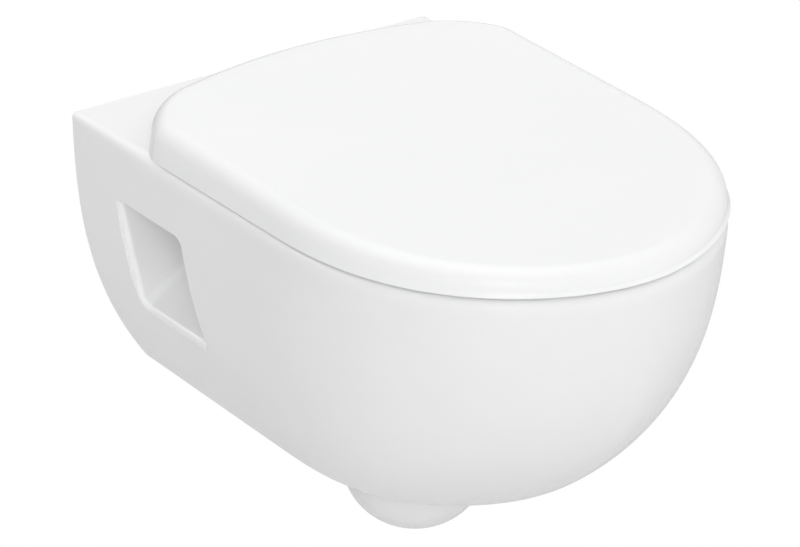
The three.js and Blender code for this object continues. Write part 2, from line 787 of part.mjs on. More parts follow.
// The seat's bare ring: up its outer edge, over the dished top and down round the mouth
function seatSkin() {
  const foot = rimHeight + seatRise;
  const rings = [coverRing(seatPlan, seatInset, () => foot)];
  const round = lidRound - lidWall - seatClear;
  for (let i = 0; i <= roundSteps; i += 1) {
    const angle = ((i / roundSteps) * Math.PI) / 2;
    const inset = seatInset + round * (1 - Math.cos(angle));
    rings.push(coverRing(seatPlan, inset, (y) => seatTop(y) - round * (1 - Math.sin(angle))));
  }
  const edge = rings[rings.length - 1];
  const rim = edge.map((p) => mouthPoint(p, seatInnerRound, (y) => seatTop(y) - seatDish));
  for (const share of topShares) {
    rings.push(edge.map((p, i) => p.clone().lerp(rim[i], share).setZ(0)).map((p) => (
      p.setZ(seatTop(-p.y) - seatDish * share))));
  }
  for (let i = 0; i <= filletSteps; i += 1) {
    const angle = ((i / filletSteps) * Math.PI) / 2;
    const growth = seatInnerRound * (1 - Math.sin(angle));
    const fall = seatDish + seatInnerRound * (1 - Math.cos(angle));
    rings.push(edge.map((p) => mouthPoint(p, growth, (y) => seatTop(y) - fall)));
  }
  rings.push(edge.map((p) => mouthPoint(p, 0, () => foot)));
  return ringLoft(rings);
}

// The seat's buffers lie along its sides at the rear, and across its nose at the front
function eachSeatBuffer(visit) {
  eachSide((side, name) => {
    const rear = [side * (panHalf - rearBufferInset), -seatBack - rearBufferBack];
    visit(...rear, [bufferWidth, bufferLength], `rear_${name}`);
    const front = [side * panHalf * frontBufferShare, -panDepth + frontBufferInset];
    visit(...front, [bufferLength, bufferWidth], `front_${name}`);
  });
}

function seatRing() {
  let seat = solid(seatSkin());
  const arm = ({ radius }) => ({
    low: [-armFront, axisHeight - Math.min(radius, armBelow)],
    high: [-axisBack, axisHeight + armAbove],
  });
  seat = withKnuckle(withKnuckle(seat, -1, damperKnuckle, arm), 1, bushKnuckle, arm);
  const foot = rimHeight + seatRise;
  const top = foot + bufferStemLength + gap;
  eachSeatBuffer((x, y) => {
    seat = seat.subtract(solid(rod(bufferStem + gap, foot - overrun, top, 'z', [x, y, 0], smallSides)));
  });
  return seat;
}

place('seat_ring', geometryOf(seatRing()), seatPlastic);
place('lid_shell', geometryOf(lidShell()), seatPlastic);

eachSeatBuffer((x, y, [wide, deep], name) => {
  const top = rimHeight + seatRise - gap;
  const pad = block([x - wide / 2, y - deep / 2, rimHeight + gap], [x + wide / 2, y + deep / 2, top]);
  const stem = rod(bufferStem, top - gap, top + bufferStemLength, 'z', [x, y, 0], smallSides);
  place(`seat_buffer_${name}`, geometryOf(joined([pad, stem])), paleRubber);
});

eachSide((side, name) => {
  const slope = Math.atan((lidBackHeight - lidFrontHeight) / (panDepth - lidBack));
  const pad = rod(lidBufferRadius, gap - seatClear, -gap, 'z', [0, 0, 0]);
  pad.rotateX(slope);
  const fromWall = panDepth - lidBufferInset;
  pad.translate(side * panHalf * lidBufferShare, -fromWall, lidRoof(fromWall));
  place(`lid_buffer_${name}`, pad, paleRubber);
});

// What fills a knuckle: a plug with a bore for the pin, from the face towards its post
function plug(side, shape, pinDepth) {
  const inner = shape.inner + (shape.end ? shape.end + gap : gap);
  const length = shape.length - shape.end - 2 * gap;
  const [from, to] = endsOf(side, inner, length);
  const [low, high] = shape.end
    ? endsOf(side, inner + length - pinDepth - gap, pinDepth + gap + overrun)
    : [from - overrun, to + overrun];
  return geometryOf(solid(rod(shape.radius - knuckleWall - gap, from, to, 'x', axisAt))
    .subtract(solid(rod(pinRadius + gap, low, high, 'x', axisAt))));
}

place('seat_damper', plug(-1, damperKnuckle, pinInDamper), greyPlastic);
place('lid_damper', plug(1, damperKnuckle, pinInDamper), greyPlastic);
place('seat_bush', plug(1, bushKnuckle), whitePlastic);
place('lid_bush', plug(-1, bushKnuckle), whitePlastic);

// Hinges

// A post's outline across the hinge axis: from its foot over the eye and down the back
function postOutline() {
  const foot = postFoot - axisHeight;
  const nose = foot + postNose;
  const away = Math.atan2(nose, -postFront) + 2 * Math.PI;
  const tangent = away - Math.acos(eyeRadius / Math.hypot(postFront, nose));
  const last = -Math.acos(postRear / eyeRadius);
  const points = [[postRear, foot], [-postFront, foot], [-postFront, nose]];
  for (let i = 0; i <= roundSteps * 2; i += 1) {
    const angle = mix(tangent, last, i / (roundSteps * 2));
    points.push([eyeRadius * Math.cos(angle), eyeRadius * Math.sin(angle)]);
  }
  return points;
}

function hingePost(side) {
  const middle = (side * postSpacing) / 2;
  const outline = postOutline();
  const ends = [-1, 1].map((end) => outline.map(([y, z]) => (
    new THREE.Vector3(middle + (end * postWidth) / 2, y - axisBack, z + axisHeight))));
  const buttonLow = postFoot + buttonRise - gap;
  const buttonHigh = postFoot + buttonRise + buttonHeight + gap;
  const wide = buttonWidth / 2 + gap;
  const face = -axisBack - postFront;
  const pocket = buttonDepth - buttonProud + buttonTravel + gap;
  return without(solid(loft(ends)), [
    rod(pinRadius + gap, middle - postWidth, middle + postWidth, 'x', axisAt),
    rod(socketRadius, postFoot - overrun, headTop + 2 * gap, 'z', [middle, -hingeHoleBack, 0]),
    block([middle - wide, face - overrun, buttonLow], [middle + wide, face + pocket, buttonHigh]),
  ].map(solid));
}

eachSide((side, name) => {
  place(`hinge_post_${name}`, geometryOf(hingePost(side)), polished);
  const pinLength = pinInDamper + pinInBush + postWidth + 2 * sideGap;
  const [from, to] = endsOf(side, longAt + longKnuckle - pinInDamper, pinLength);
  place(`hinge_pin_${name}`, rod(pinRadius, from, to, 'x', axisAt), steel);
  const x = (side * postSpacing) / 2;
  const front = -axisBack - postFront - buttonProud;
  const low = postFoot + buttonRise;
  place(`release_button_${name}`, block(
    [x - buttonWidth / 2, front, low],
    [x + buttonWidth / 2, front + buttonDepth, low + buttonHeight],
  ), polished);
});

function rosette() {
  const foot = rimHeight + gap;
  const hole = seatStudRadius + gap;
  return [[hole, foot], [rosetteRadius, foot], [rosetteRadius, rosetteTop - rosetteRound],
    [rosetteRadius - rosetteRound, rosetteTop], [hole, rosetteTop]];
}

function seatStud() {
  const foot = nutPocketTop - gap * 2 - cupHeight - wingHubHeight - studPastWing;
  const collar = rosetteTop + gap;
  const head = rosetteTop + headRise;
  return [[0, foot], [seatStudRadius, foot], [seatStudRadius, collar], [collarRadius, collar],
    [collarRadius, collar + collarHeight], [seatStudRadius, collar + collarHeight], [seatStudRadius, head],
    [headRadius, head], [headRadius, headTop - headTaper], [headRadius - headTaper, headTop], [0, headTop]];
}

function rubberCone() {
  const top = rimHeight - gap;
  const hole = seatStudRadius + gap;
  return [[hole, top - coneLength], [coneFoot, top - coneLength], [hingeHoleRadius - gap, top], [hole, top]];
}

function cupWasher() {
  const top = nutPocketTop - gap;
  const hole = seatStudRadius + gap;
  return [[hole, top - cupHeight], [cupRadius, top - cupHeight], [cupRadius, top],
    [cupRadius - cupHeight, top], [cupRadius - cupHeight, top - cupWall], [hole, top - cupWall]];
}

function wingNut(x) {
  const top = nutPocketTop - gap * 2 - cupHeight;
  const low = top - wingHubHeight;
  const wings = block([x - wingSpan, -hingeHoleBack - wingThickness / 2, low],
    [x + wingSpan, -hingeHoleBack + wingThickness / 2, top - wingThickness]);
  const at = [x, -hingeHoleBack, 0];
  return joined([rod(wingHubRadius, low, top, 'z', at), wings])
    .subtract(solid(rod(seatStudRadius + gap, low - overrun, top + overrun, 'z', at)));
}

eachSide((side, name) => {
  const x = (side * postSpacing) / 2;
  const at = [x, -hingeHoleBack, 0];
  place(`hinge_rosette_${name}`, turned(rosette(), 'z', at), polished);
  place(`seat_stud_${name}`, turned(seatStud(), 'z', at), steel);
  place(`rubber_cone_${name}`, turned(rubberCone(), 'z', at), rubber);
  place(`stud_cup_washer_${name}`, turned(cupWasher(), 'z', at), whitePlastic);
  place(`wing_nut_${name}`, geometryOf(wingNut(x)), whitePlastic);
});

// Wall fixings, laid out from the face of the recess towards the front

const sleeveFace = -(recessRear + gap);
const washerFace = sleeveFace - sleeveFlangeThickness - gap;
const nutFace = washerFace - washerThickness - gap;
const studEnd = nutFace - nutHeight - studPastNut;

function studSleeve() {
  const [outer, bore] = [studHole - gap, studHole - sleeveWall - gap];
  const flangeFront = sleeveFace - sleeveFlangeThickness;
  return [[bore, flangeFront], [sleeveFlange, flangeFront], [sleeveFlange, sleeveFace],
    [outer, sleeveFace], [outer, sleeveFace + sleeveLength], [bore, sleeveFace + sleeveLength]];
}

function studWasher() {
  const bore = wallStudRadius + gap;
  const front = washerFace - washerThickness;
  return [[bore, front], [washerRadius, front], [washerRadius, washerFace], [bore, washerFace]];
}

function studNut(at) {
  const across = nutAcross / Math.sqrt(3);
  return solid(rod(across, nutFace - nutHeight, nutFace, 'y', at, hexSides))
    .subtract(solid(rod(wallStudRadius + gap, nutFace - nutHeight - overrun, nutFace + overrun, 'y', at)));
}

function nutCap() {
  const inner = nutAcross / Math.sqrt(3) + capClear;
  const outer = inner + capWall;
  const end = studEnd - capClear;
  return [[0, end], [inner, end], [inner, nutFace], [outer, nutFace], [outer, end],
    [outer - capWall, end - capWall], [0, end - capWall]];
}

eachSide((side, name) => {
  const at = [(side * studSpacing) / 2, 0, 0];
  place(`wall_stud_${name}`, rod(wallStudRadius, studEnd, wallStudInWall, 'y', at), steel);
  place(`stud_sleeve_${name}`, turned(studSleeve(), 'y', at), greyPlastic);
  place(`stud_washer_${name}`, turned(studWasher(), 'y', at), steel);
  place(`stud_nut_${name}`, geometryOf(studNut(at)), steel);
  place(`nut_cap_${name}`, turned(nutCap(), 'y', at), whitePlastic);
});

// Seals

// Two lips along a seal's face, as profile points from one end to the other
function lips(radius, from, to, rise) {
  const points = [];
  for (const share of [1 / 4, 3 / 4]) {
    const middle = mix(from, to, share);
    points.push([radius, middle - sealLip], [radius + rise, middle], [radius, middle + sealLip]);
  }
  return points;
}

function inletSeal() {
  const outer = inletRadius - gap;
  const [front, back] = [-sealSetback - inletSealLength, -sealSetback];
  return [[outer, back], [outer, front], [outer - sealWall, front],
    ...lips(outer - sealWall, front, back, -sealLip), [outer - sealWall, back]];
}

function outletSeal() {
  const inner = spigotRadius + gap;
  const [front, back] = [-spigotSetback - outletSealLength, -spigotSetback];
  return [[inner, back], [inner, front], [inner + sealWall, front],
    ...lips(inner + sealWall, front, back, sealLip), [inner + sealWall, back]];
}

place('inlet_seal', turned(inletSeal(), 'y', [0, 0, inletRise], tubeSides), rubber);
place('outlet_seal', turned(outletSeal(), 'y', [0, 0, -wasteDrop], tubeSides), rubber);

export default toilet;
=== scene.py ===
import math
import bpy
import numpy as np
from mathutils import Matrix, Vector


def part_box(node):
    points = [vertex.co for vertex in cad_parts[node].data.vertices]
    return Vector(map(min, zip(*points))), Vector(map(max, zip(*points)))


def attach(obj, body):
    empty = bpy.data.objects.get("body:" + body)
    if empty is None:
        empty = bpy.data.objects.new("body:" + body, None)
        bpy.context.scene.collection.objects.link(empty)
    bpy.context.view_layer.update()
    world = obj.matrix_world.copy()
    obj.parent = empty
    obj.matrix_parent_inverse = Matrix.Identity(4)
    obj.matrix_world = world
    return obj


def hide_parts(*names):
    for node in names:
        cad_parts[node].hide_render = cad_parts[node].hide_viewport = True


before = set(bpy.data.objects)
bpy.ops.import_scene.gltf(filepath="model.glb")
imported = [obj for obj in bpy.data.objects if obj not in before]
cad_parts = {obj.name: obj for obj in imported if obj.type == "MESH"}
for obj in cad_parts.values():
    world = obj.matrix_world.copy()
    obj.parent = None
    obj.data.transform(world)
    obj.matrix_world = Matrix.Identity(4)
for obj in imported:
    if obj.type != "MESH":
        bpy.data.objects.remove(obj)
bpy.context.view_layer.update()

# The camera
# It stands where the photographer stood, to the front left of the pan and a little above it, with a
# long lens, so that the lid, the left side and the front are all seen.
eye = Vector((-1.4286, -2.1511, 1.1580))
target = Vector((-0.0740, -0.3082, 0.0301))
lens = bpy.data.cameras.new("camera")
lens.sensor_width = 36
lens.lens = 148.79
lens.clip_end = 60
camera = bpy.data.objects.new("camera", lens)
camera.location = eye
camera.rotation_euler = (target - eye).to_track_quat("-Z", "Y").to_euler()
bpy.context.scene.collection.objects.link(camera)
bpy.context.scene.camera = camera
bpy.context.scene.view_settings.view_transform = "Standard"


# The studio
# White paper all round. Soft patches of light on it stand above, to the right and behind the camera, so
# that the lid is brightest, then the nose, then the side that faces the camera's left.
class Wire:
    """A value inside a material. Sums, differences, products, quotients and powers of wires and numbers
    each add one Math node; node() adds any other node."""

    def __init__(self, tree, socket=None):
        self.tree = tree
        self.socket = socket

    def math(self, operation, *values):
        added = self.tree.nodes.new("ShaderNodeMath")
        added.operation = operation
        for place, value in zip(added.inputs, values):
            self.feed(place, value)
        return Wire(self.tree, added.outputs[0])

    def feed(self, place, value):
        """Links a wire to a socket, or sets the socket to a plain value."""
        if isinstance(value, Wire):
            self.tree.links.new(value.socket, place)
        else:
            place.default_value = value

    def node(self, kind, settings=None, inputs=None, out=0):
        """Any node: its type, its settings (a ramp's stops too), and its sockets' values or wires."""
        added = self.tree.nodes.new("ShaderNode" + kind)
        for key, value in (settings or {}).items():
            if key == "stops":
                ramp = added.color_ramp
                while len(ramp.elements) < len(value):
                    ramp.elements.new(0.5)
                for element, (at, colour) in zip(ramp.elements, value):
                    element.position = at
                    element.color = (*colour, 1)
            else:
                setattr(added, key, value)
        for key, value in (inputs or {}).items():
            self.feed(added.inputs[key], value)
        return Wire(self.tree, added.outputs[out])

    def __add__(self, other):
        return self.math("ADD", self, other)

    def __sub__(self, other):
        return self.math("SUBTRACT", self, other)

    def __rsub__(self, other):
        return self.math("SUBTRACT", other, self)

    def __mul__(self, other):
        return self.math("MULTIPLY", self, other)

    def __truediv__(self, other):
        return self.math("DIVIDE", self, other)

    def __pow__(self, other):
        return self.math("POWER", self, other)

    __radd__ = __add__
    __rmul__ = __mul__


def light_from(wire, even, patches):
    """Brightness by direction: an even part, plus for each patch its strength times the cosine of the
    angle from its middle, where above 0, to the power of its narrowness."""
    place = wire.node("TexCoord", out="Generated")
    total = even
    for strength, middle, narrowness in patches:
        aim = tuple(Vector(middle).normalized())
        cosine = wire.node("VectorMath", {"operation": "DOT_PRODUCT"}, {0: place, 1: aim}, out=1)
        total = strength * cosine.math("MAXIMUM", cosine, 0.0) ** narrowness + total
    return total


def by_ray(wire, scattered, mirrored, seen):
    """One of three shaders: for light that scatters, for light that mirrors, and for what the camera sees."""
    mirror = sum(wire.node("LightPath", out=f"Is {ray} Ray") for ray in ("Glossy", "Transmission"))
    mirror = mirror.math("MINIMUM", mirror, 1.0)
    lit = wire.node("MixShader", inputs={0: mirror, 1: scattered, 2: mirrored})
    return wire.node("MixShader", inputs={0: wire.node("LightPath", out="Is Camera Ray"), 1: lit, 2: seen})


paper_lights, paper_mirrored, paper_seen, paper_tone = 0.387, 0.659, 1.0, 0.86
scattered_patches = [(0.14, (0, 0, 1), 2), (1.06, (1, 0, 0.2), 2), (14.9, eye - target, 60)]
mirrored_patches = [(3.34, (0, 0.3, 1), 4), (0.92, (-0.44, 0.72, 0.53), 8), (0.65, (0.53, 0.72, 0.44), 8)]
world = bpy.data.worlds.new("studio")
world.use_nodes = True
bpy.context.scene.world = world
world.node_tree.nodes.clear()
sky = Wire(world.node_tree)
shades = [sky.node("Background", inputs={"Color": (1, 1, 1, 1), "Strength": strength}) for strength in (
    light_from(sky, paper_lights, scattered_patches), light_from(sky, paper_mirrored, mirrored_patches),
    paper_seen)]
sky.feed(world.node_tree.nodes.new("ShaderNodeOutputWorld").inputs["Surface"], by_ray(sky, *shades))


def skin(name, rings, loop=False):
    """A closed mesh through rings of points, given in millimetres. A face joins points i and i + 1 of ring
    j with those of ring j + 1, counted round; unless the rings loop, each end ring is closed by one face.
    The faces are turned outwards by the sign of the enclosed volume."""
    rings = np.asarray(rings, float) / 1000
    count, size = rings.shape[:2]
    j = np.arange(count if loop else count - 1)[:, None]
    i = np.arange(size)[None, :]
    near, far = j * size, (j + 1) % count * size
    step = (i + 1) % size
    quads = np.stack([near + i, near + step, far + step, far + i], -1).reshape(-1, 4)
    points = rings.reshape(-1, 3)
    a, b, c, d = (points[quads[:, k]] for k in range(4))
    volume = np.einsum("ij,ij->", a, np.cross(b, c)) + np.einsum("ij,ij->", a, np.cross(c, d))
    if not loop:
        for ring, sign in ((rings[0], -1), (rings[-1], 1)):
            centre = ring.mean(0)
            volume += sign * np.einsum("ij,j->", np.cross(ring, np.roll(ring, -1, 0)), centre)
    faces = quads.tolist()
    if not loop:
        faces += [list(range(size))[::-1], list(range((count - 1) * size, count * size))]
    if volume < 0:
        faces = [face[::-1] for face in faces]
    mesh = bpy.data.meshes.new(name)
    mesh.from_pydata(points, [], faces)
    piece = bpy.data.objects.new(name, mesh)
    bpy.context.scene.collection.objects.link(piece)
    return piece


def carved(piece, *steps):
    """Adds or cuts away other closed pieces, one after another, and keeps the result as the mesh."""
    for operation, tool in steps:
        change = piece.modifiers.new("change", "BOOLEAN")
        change.operation = operation
        change.solver = "MANIFOLD"
        change.object = tool
    graph = bpy.context.evaluated_depsgraph_get()
    mesh = bpy.data.meshes.new_from_object(piece.evaluated_get(graph))
    piece.modifiers.clear()
    piece.data = mesh
    for _, tool in steps:
        bpy.data.objects.remove(tool)
    return piece


def floor_material():
    """White paper: white to the camera, and a light grey in what the glaze mirrors."""
    material = bpy.data.materials.new("paper")
    material.use_nodes = True
    material.node_tree.nodes.clear()
    wire = Wire(material.node_tree)
    paper = wire.node("BsdfDiffuse", inputs={"Color": (paper_tone, paper_tone, paper_tone, 1)})
    glows = [wire.node("Emission", inputs={"Color": (1, 1, 1, 1), "Strength": strength})
             for strength in (paper_mirrored, paper_seen)]
    output = material.node_tree.nodes.new("ShaderNodeOutputMaterial")
    wire.feed(output.inputs["Surface"], by_ray(wire, paper, *glows))
    return material


floor_level, floor_half, floor_thick = -480, 9000, 20
floor = skin("floor", [
    [(-floor_half, -floor_half, z), (floor_half, -floor_half, z), (floor_half, floor_half, z),
     (-floor_half, floor_half, z)] for z in (floor_level - floor_thick, floor_level)])
floor.data.materials.append(floor_material())


# The pan
# One piece of vitreous china, slip cast and fired under a white glaze. Its skirt narrows to an oval foot,
# its top is flat with a soft edge, and each side has a recess for the hand that tightens the wall nuts.
def extent(node):
    """A solid's lowest and highest corner, in millimetres."""
    return [np.array(corner) * 1000 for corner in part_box(node)]


pan_low, pan_high = extent("pan_skirt")
rim, pan_half, pan_front = pan_high[2], pan_high[0], -pan_low[1]
skirt_drop = 243.3
foot_half, foot_front = 116.5, 385.5
rim_straight, foot_straight = 291, 203
side_power, front_power = 2.67, 2.84
rim_nose, foot_nose = (2.44, 1.84), (2.91, 1.51)
rim_round, foot_round, back_round = 7, 3, 2.5
tighter, tighter_reach, deeper, deeper_reach = 0.4, 14, 0.6, 60
pan_wall, ledge = 12, 27
back_block, back_block_foot = 56, -42
over = 5  # how far a tool runs past what it cuts


def nose(half, straight, front, powers, turns):
    """A quarter of the nose in plan. At a turn t from 0 (side) to 1 (tip) the half width is
    half * cos(t) ^ (2 / across) and the distance from the wall straight + (front - straight) *
    sin(t) ^ (2 / along), with t as a quarter circle."""
    along, across = powers
    angle = turns * np.pi / 2
    x = half * np.clip(np.cos(angle), 0, 1) ** (2 / across)
    y = straight + (front - straight) * np.sin(angle) ** (2 / along)
    return np.stack([x, y], -1)


def skirt_half(level):
    """The skirt's half width falls with the power of the drop: at drop share s it has lost s ^ power of
    the difference between rim and foot."""
    share = np.clip((rim - level) / skirt_drop, 0, 1)
    return pan_half + (foot_half - pan_half) * share ** side_power


def skirt_ring(drop, inset, level, side_steps=24, nose_steps=44, rear=0, corner=0):
    """The plan at a drop share: straight from the wall, then the nose, mirrored, drawn in by an inset. The
    rear is how far it stands off the wall, with a quarter circle for a corner."""
    powers = [a + (b - a) * drop for a, b in zip(rim_nose, foot_nose)]
    half = pan_half + (foot_half - pan_half) * drop ** side_power - inset
    front = pan_front + (foot_front - pan_front) * drop ** front_power - inset
    straight = rim_straight + (foot_straight - rim_straight) * drop
    line = np.linspace(rear + corner, straight, side_steps, endpoint=False)
    right = np.concatenate([np.stack([np.full(side_steps, half), line], -1),
                            nose(half, straight, front, powers, np.linspace(0, 1, nose_steps))])
    if corner:
        angle = quarter(6)[:-1]
        bend = np.stack([half - corner * (1 - np.sin(angle)), rear + corner * (1 - np.cos(angle))], -1)
        right = np.concatenate([bend, right])
    left = right[-2::-1] * (-1, 1)
    plan = np.concatenate([right, left])
    return np.column_stack([plan[:, 0], -plan[:, 1], np.full(len(plan), level)])


def quarter(steps, first=0):
    """Angles over a quarter circle."""
    return np.linspace(first, np.pi / 2, steps)


def rounding(steps, first=0):
    """How far an edge rounded with radius 1 is drawn in, and how far down it has come, over a quarter
    circle: 1 - sine and 1 - cosine of each angle."""
    angle = quarter(steps, first)
    return list(zip(1 - np.sin(angle), 1 - np.cos(angle)))


def pan_outside():
    """Rings down from the flat top: its rounded edge, which is tighter at the wall and deeper under the
    lid, the skirt, and the rounded foot."""
    sharp = skirt_ring(0, 0, rim, corner=back_round)
    y = sharp[:, 1:2]
    share = 1 - tighter * np.exp(y / tighter_reach) + deeper * np.clip(-y / deeper_reach - 1, 0, 1)
    rings = []
    for inward, down in rounding(9):
        fall, inset = rim_round * down, rim_round * inward
        soft = skirt_ring(fall / skirt_drop, inset, rim - fall, rear=inset / 5, corner=back_round)
        rings.append(sharp + (soft - sharp) * share)
    for fall in np.linspace(rim_round, skirt_drop - foot_round, 90)[2:]:
        rings.append(skirt_ring(fall / skirt_drop, 0, rim - fall, corner=back_round))
    for inward, down in rounding(6)[1:]:
        fall = skirt_drop - foot_round * inward
        rings.append(skirt_ring(fall / skirt_drop, foot_round * down, rim - fall, corner=back_round))
    return skin("pan", rings)


def underside():
    """The hollow below: the skirt's plan drawn in by the wall, stepped back behind the cast back."""
    rings = []
    step = (rim - back_block_foot) / skirt_drop
    stages = [(drop, -back_block) for drop in np.linspace(ledge / skirt_drop, step, 10)]
    stages += [(drop, over) for drop in np.linspace(step, 1, 12)]
    for drop, back in stages:
        ring = skirt_ring(drop, pan_wall, rim - skirt_drop * drop, 4, 30)
        ring[np.abs(ring[:, 1]) < 1e-6, 1] = back
        rings.append(ring)
    rings.append(rings[-1] - (0, 0, over))
    return skin("underside", rings)


bowl_half, bowl_back, bowl_rim_front, bowl_depth, sump_back = 136, 152, 42, 302, 243
bowl_lip, bowl_floor = 6, 0.985


def bowl_ring(down, wall, level, sides=96):
    """An oval whose size falls as (1 - down ^ 1.4) ^ (1 / 1.15) and whose centre moves back with the
    square of the depth share."""
    size = (1 - down ** 1.4) ** (1 / 1.15)
    long = (pan_front - bowl_rim_front - bowl_back) / 2
    middle = bowl_back + long
    middle += (sump_back - middle) * down ** 2
    turn = np.arange(sides) * 2 * np.pi / sides
    x = (bowl_half * size + wall) * np.cos(turn)
    y = -middle + (long * size + wall) * np.sin(turn)
    return np.column_stack([x, y, np.full(sides, level)])


def bowl(wall):
    """Rings of the bowl from its lip to its floor, closer together near the floor; with no wall it is the
    cutter, with a rounded lip above."""
    rings = []
    if not wall:
        rings.append(bowl_ring(0, bowl_lip, rim + over))
        for inward, down in rounding(6)[:-1]:
            fall = bowl_lip * down
            rings.append(bowl_ring(fall / bowl_depth, bowl_lip * inward, rim - fall))
    start = bowl_lip / bowl_depth
    for share in np.linspace(0, 1, 30) ** 0.9:
        down = start + (bowl_floor - start) * share
        rings.append(bowl_ring(down, wall, rim - bowl_depth * down))
    return skin("bowl", rings)


def way(name, stops, steps=8, sides=48):
    """A tube along a smooth path in the middle plane. Each stop is (from the wall, level, half width, half
    height); between stops all four follow a cubic with the chord's slope at each stop."""
    stops = np.array(stops, float)
    knots = np.concatenate([[0], np.cumsum(np.hypot(*np.diff(stops[:, :2], axis=0).T))])
    slopes = np.gradient(stops, knots, axis=0)
    at = np.unique(np.concatenate([np.linspace(a, b, steps) for a, b in zip(knots[:-1], knots[1:])]))
    k = np.clip(np.searchsorted(knots, at, "right") - 1, 0, len(knots) - 2)
    span = (knots[k + 1] - knots[k])[:, None]
    t = (at - knots[k])[:, None] / span
    value = ((1 + 2 * t) * (1 - t) ** 2 * stops[k] + t * (1 - t) ** 2 * span * slopes[k]
             + t ** 2 * (3 - 2 * t) * stops[k + 1] + t ** 2 * (t - 1) * span * slopes[k + 1])
    heading = np.gradient(value[:, :2], axis=0)
    heading /= np.linalg.norm(heading, axis=1)[:, None]
    turn = np.arange(sides) * 2 * np.pi / sides
    across = value[:, 2, None] * np.cos(turn)
    up = value[:, 3, None] * np.sin(turn)
    y = -(value[:, 0, None] - heading[:, 1, None] * up)
    z = value[:, 1, None] + -heading[:, 0, None] * up
    return skin(name, np.stack([across, y, z], -1))


waste_drop, spigot, spigot_bore, belly_back, belly_drop, belly_radius = 100, 51, 41, 229, 193, 61
belly_long, belly_flat, belly_tip = 1.04, 0.962, -0.6
waste_way_shares = [(-0.05, -0.04, 0.8, 0.59), (0, -0.21, 0.85, 0.61), (0.15, -0.12, 0.85, 0.63),
                    (0.28, 0.16, 0.88, 0.66), (0.39, 0.46, 0.9, 0.68), (0.51, 0.76, 0.93, 0.78),
                    (0.65, 0.95, 0.98, 0.9), (0.78, 1, 1, 1), (1, 1, 1, 1)]
trap_wall_shares = [(-0.18, 0.68, 0.86, 0.86), (-0.07, 0.27, 1.06, 1.06), (0, 0, 1.1, 1.1),
                    (0.18, 0.1, 1.06, 0.98), (0.34, 0.44, 1, 0.9), (0.51, 0.76, 0.98, 0.9),
                    (0.65, 0.95, 1, 0.96), (0.78, 1, 1, 1), (0.85, 1, 1, 1), (1, 1, 1, 1)]


def trap_run(name, shares, radius, outlet):
    """The trap from the belly (0) to the outlet (1): each stop says how far along and how far up it lies,
    and its half width and half height as shares of the outlet's radius."""
    along, up, width, height = np.array(shares).T
    path = [belly_back + (outlet - belly_back) * along, -belly_drop + (belly_drop - waste_drop) * up]
    return way(name, np.stack([*path, radius * width, radius * height], -1))


def belly():
    """A sphere drawn out by a twenty-fifth along the trap, tipped up towards the wall, and made flatter by
    about as much."""
    down = np.linspace(0.02, np.pi - 0.02, 40)[:, None]
    turn = np.arange(64)[None, :] * 2 * np.pi / 64
    x = belly_radius * np.sin(down) * np.cos(turn)
    y = belly_radius * belly_long * np.sin(down) * np.sin(turn)
    z = belly_radius * np.cos(down) * np.ones_like(turn)
    ahead = y * np.cos(belly_tip) - z * np.sin(belly_tip)
    up = y * np.sin(belly_tip) + z * np.cos(belly_tip)
    return skin("belly", np.stack([x, ahead - belly_back, belly_flat * up - belly_drop], -1))


def flush_way(wall):
    """From the inlet's neck to a flat slot at the back of the bowl."""
    end = bowl_back + (0 if wall else 23)
    stops = [(33, 35, 23, 23), (61, 38, 23, 20), (106, 49, 31, 11), (end, 52, 38, 8)]
    return way("flush_way", [(y, z, a + wall, b + wall) for y, z, a, b in stops])


recess_near, recess_far, recess_floor, recess_top, recess_end = 62, 128.4, -19, 25, 60
recess_rounds, recess_end_round, recess_wall = (7, 3.5, 7, 3.5), 3.2, 10
near_spread, near_spread_from, near_lean, near_lean_below = 0.1, 57, 0.132, -15
far_spread, far_lean, far_lean_below, floor_spread, top_spread = 0.25, 0.139, 24, 0.475, 0.047
lip_rear, lip_front, lip_below, lip_above = 5.4, 1.5, 5, 1.3

corner_of = np.repeat(range(4), 10)
facing = np.concatenate([(k + np.linspace(0, 1, 10)) * np.pi / 2 for k in range(4)])
ahead, up = np.cos(facing), np.sin(facing)
lip = (lip_rear * np.clip(-ahead, 0, 1) ** 2 + lip_front * np.clip(ahead, 0, 1) ** 2
       + lip_below * np.clip(-up, 0, 1) ** 2 + lip_above * np.clip(up, 0, 1) ** 2)


def recess_ring(side, across, grow=0, wall=0):
    """The recess in section, as far from the middle as across says by level: a rounded rectangle whose
    edges spread outwards, flat round the wall nut and then leaning away from it, and whose outline grows
    along its normal. The level depends on the distance in turn, so a few repeats find both."""
    round_ = np.repeat(recess_rounds, 10) + wall
    z = np.zeros_like(facing)
    for _ in range(6):
        x = across(z) + np.zeros_like(facing)
        out = x - recess_end
        near = (recess_near + near_spread * np.maximum(out - near_spread_from, 0)
                + near_lean * np.maximum(near_lean_below - z, 0) - wall)
        far = recess_far + far_spread * out + far_lean * (far_lean_below - z) + wall
        low = recess_floor - floor_spread * out - wall
        high = recess_top + top_spread * out + wall
        y = np.where(np.isin(corner_of, (0, 3)), far - round_, near + round_) + (round_ + grow) * ahead
        z = np.where(corner_of < 2, high - round_, low + round_) + (round_ + grow) * up
    ring = np.stack([side * x, -y, z], -1)
    spans = [np.linspace(ring[k], ring[(k + 1) % 40], 13)[:-1] if k % 10 == 9 else ring[k:k + 1]
             for k in range(40)]
    return np.concatenate(spans)


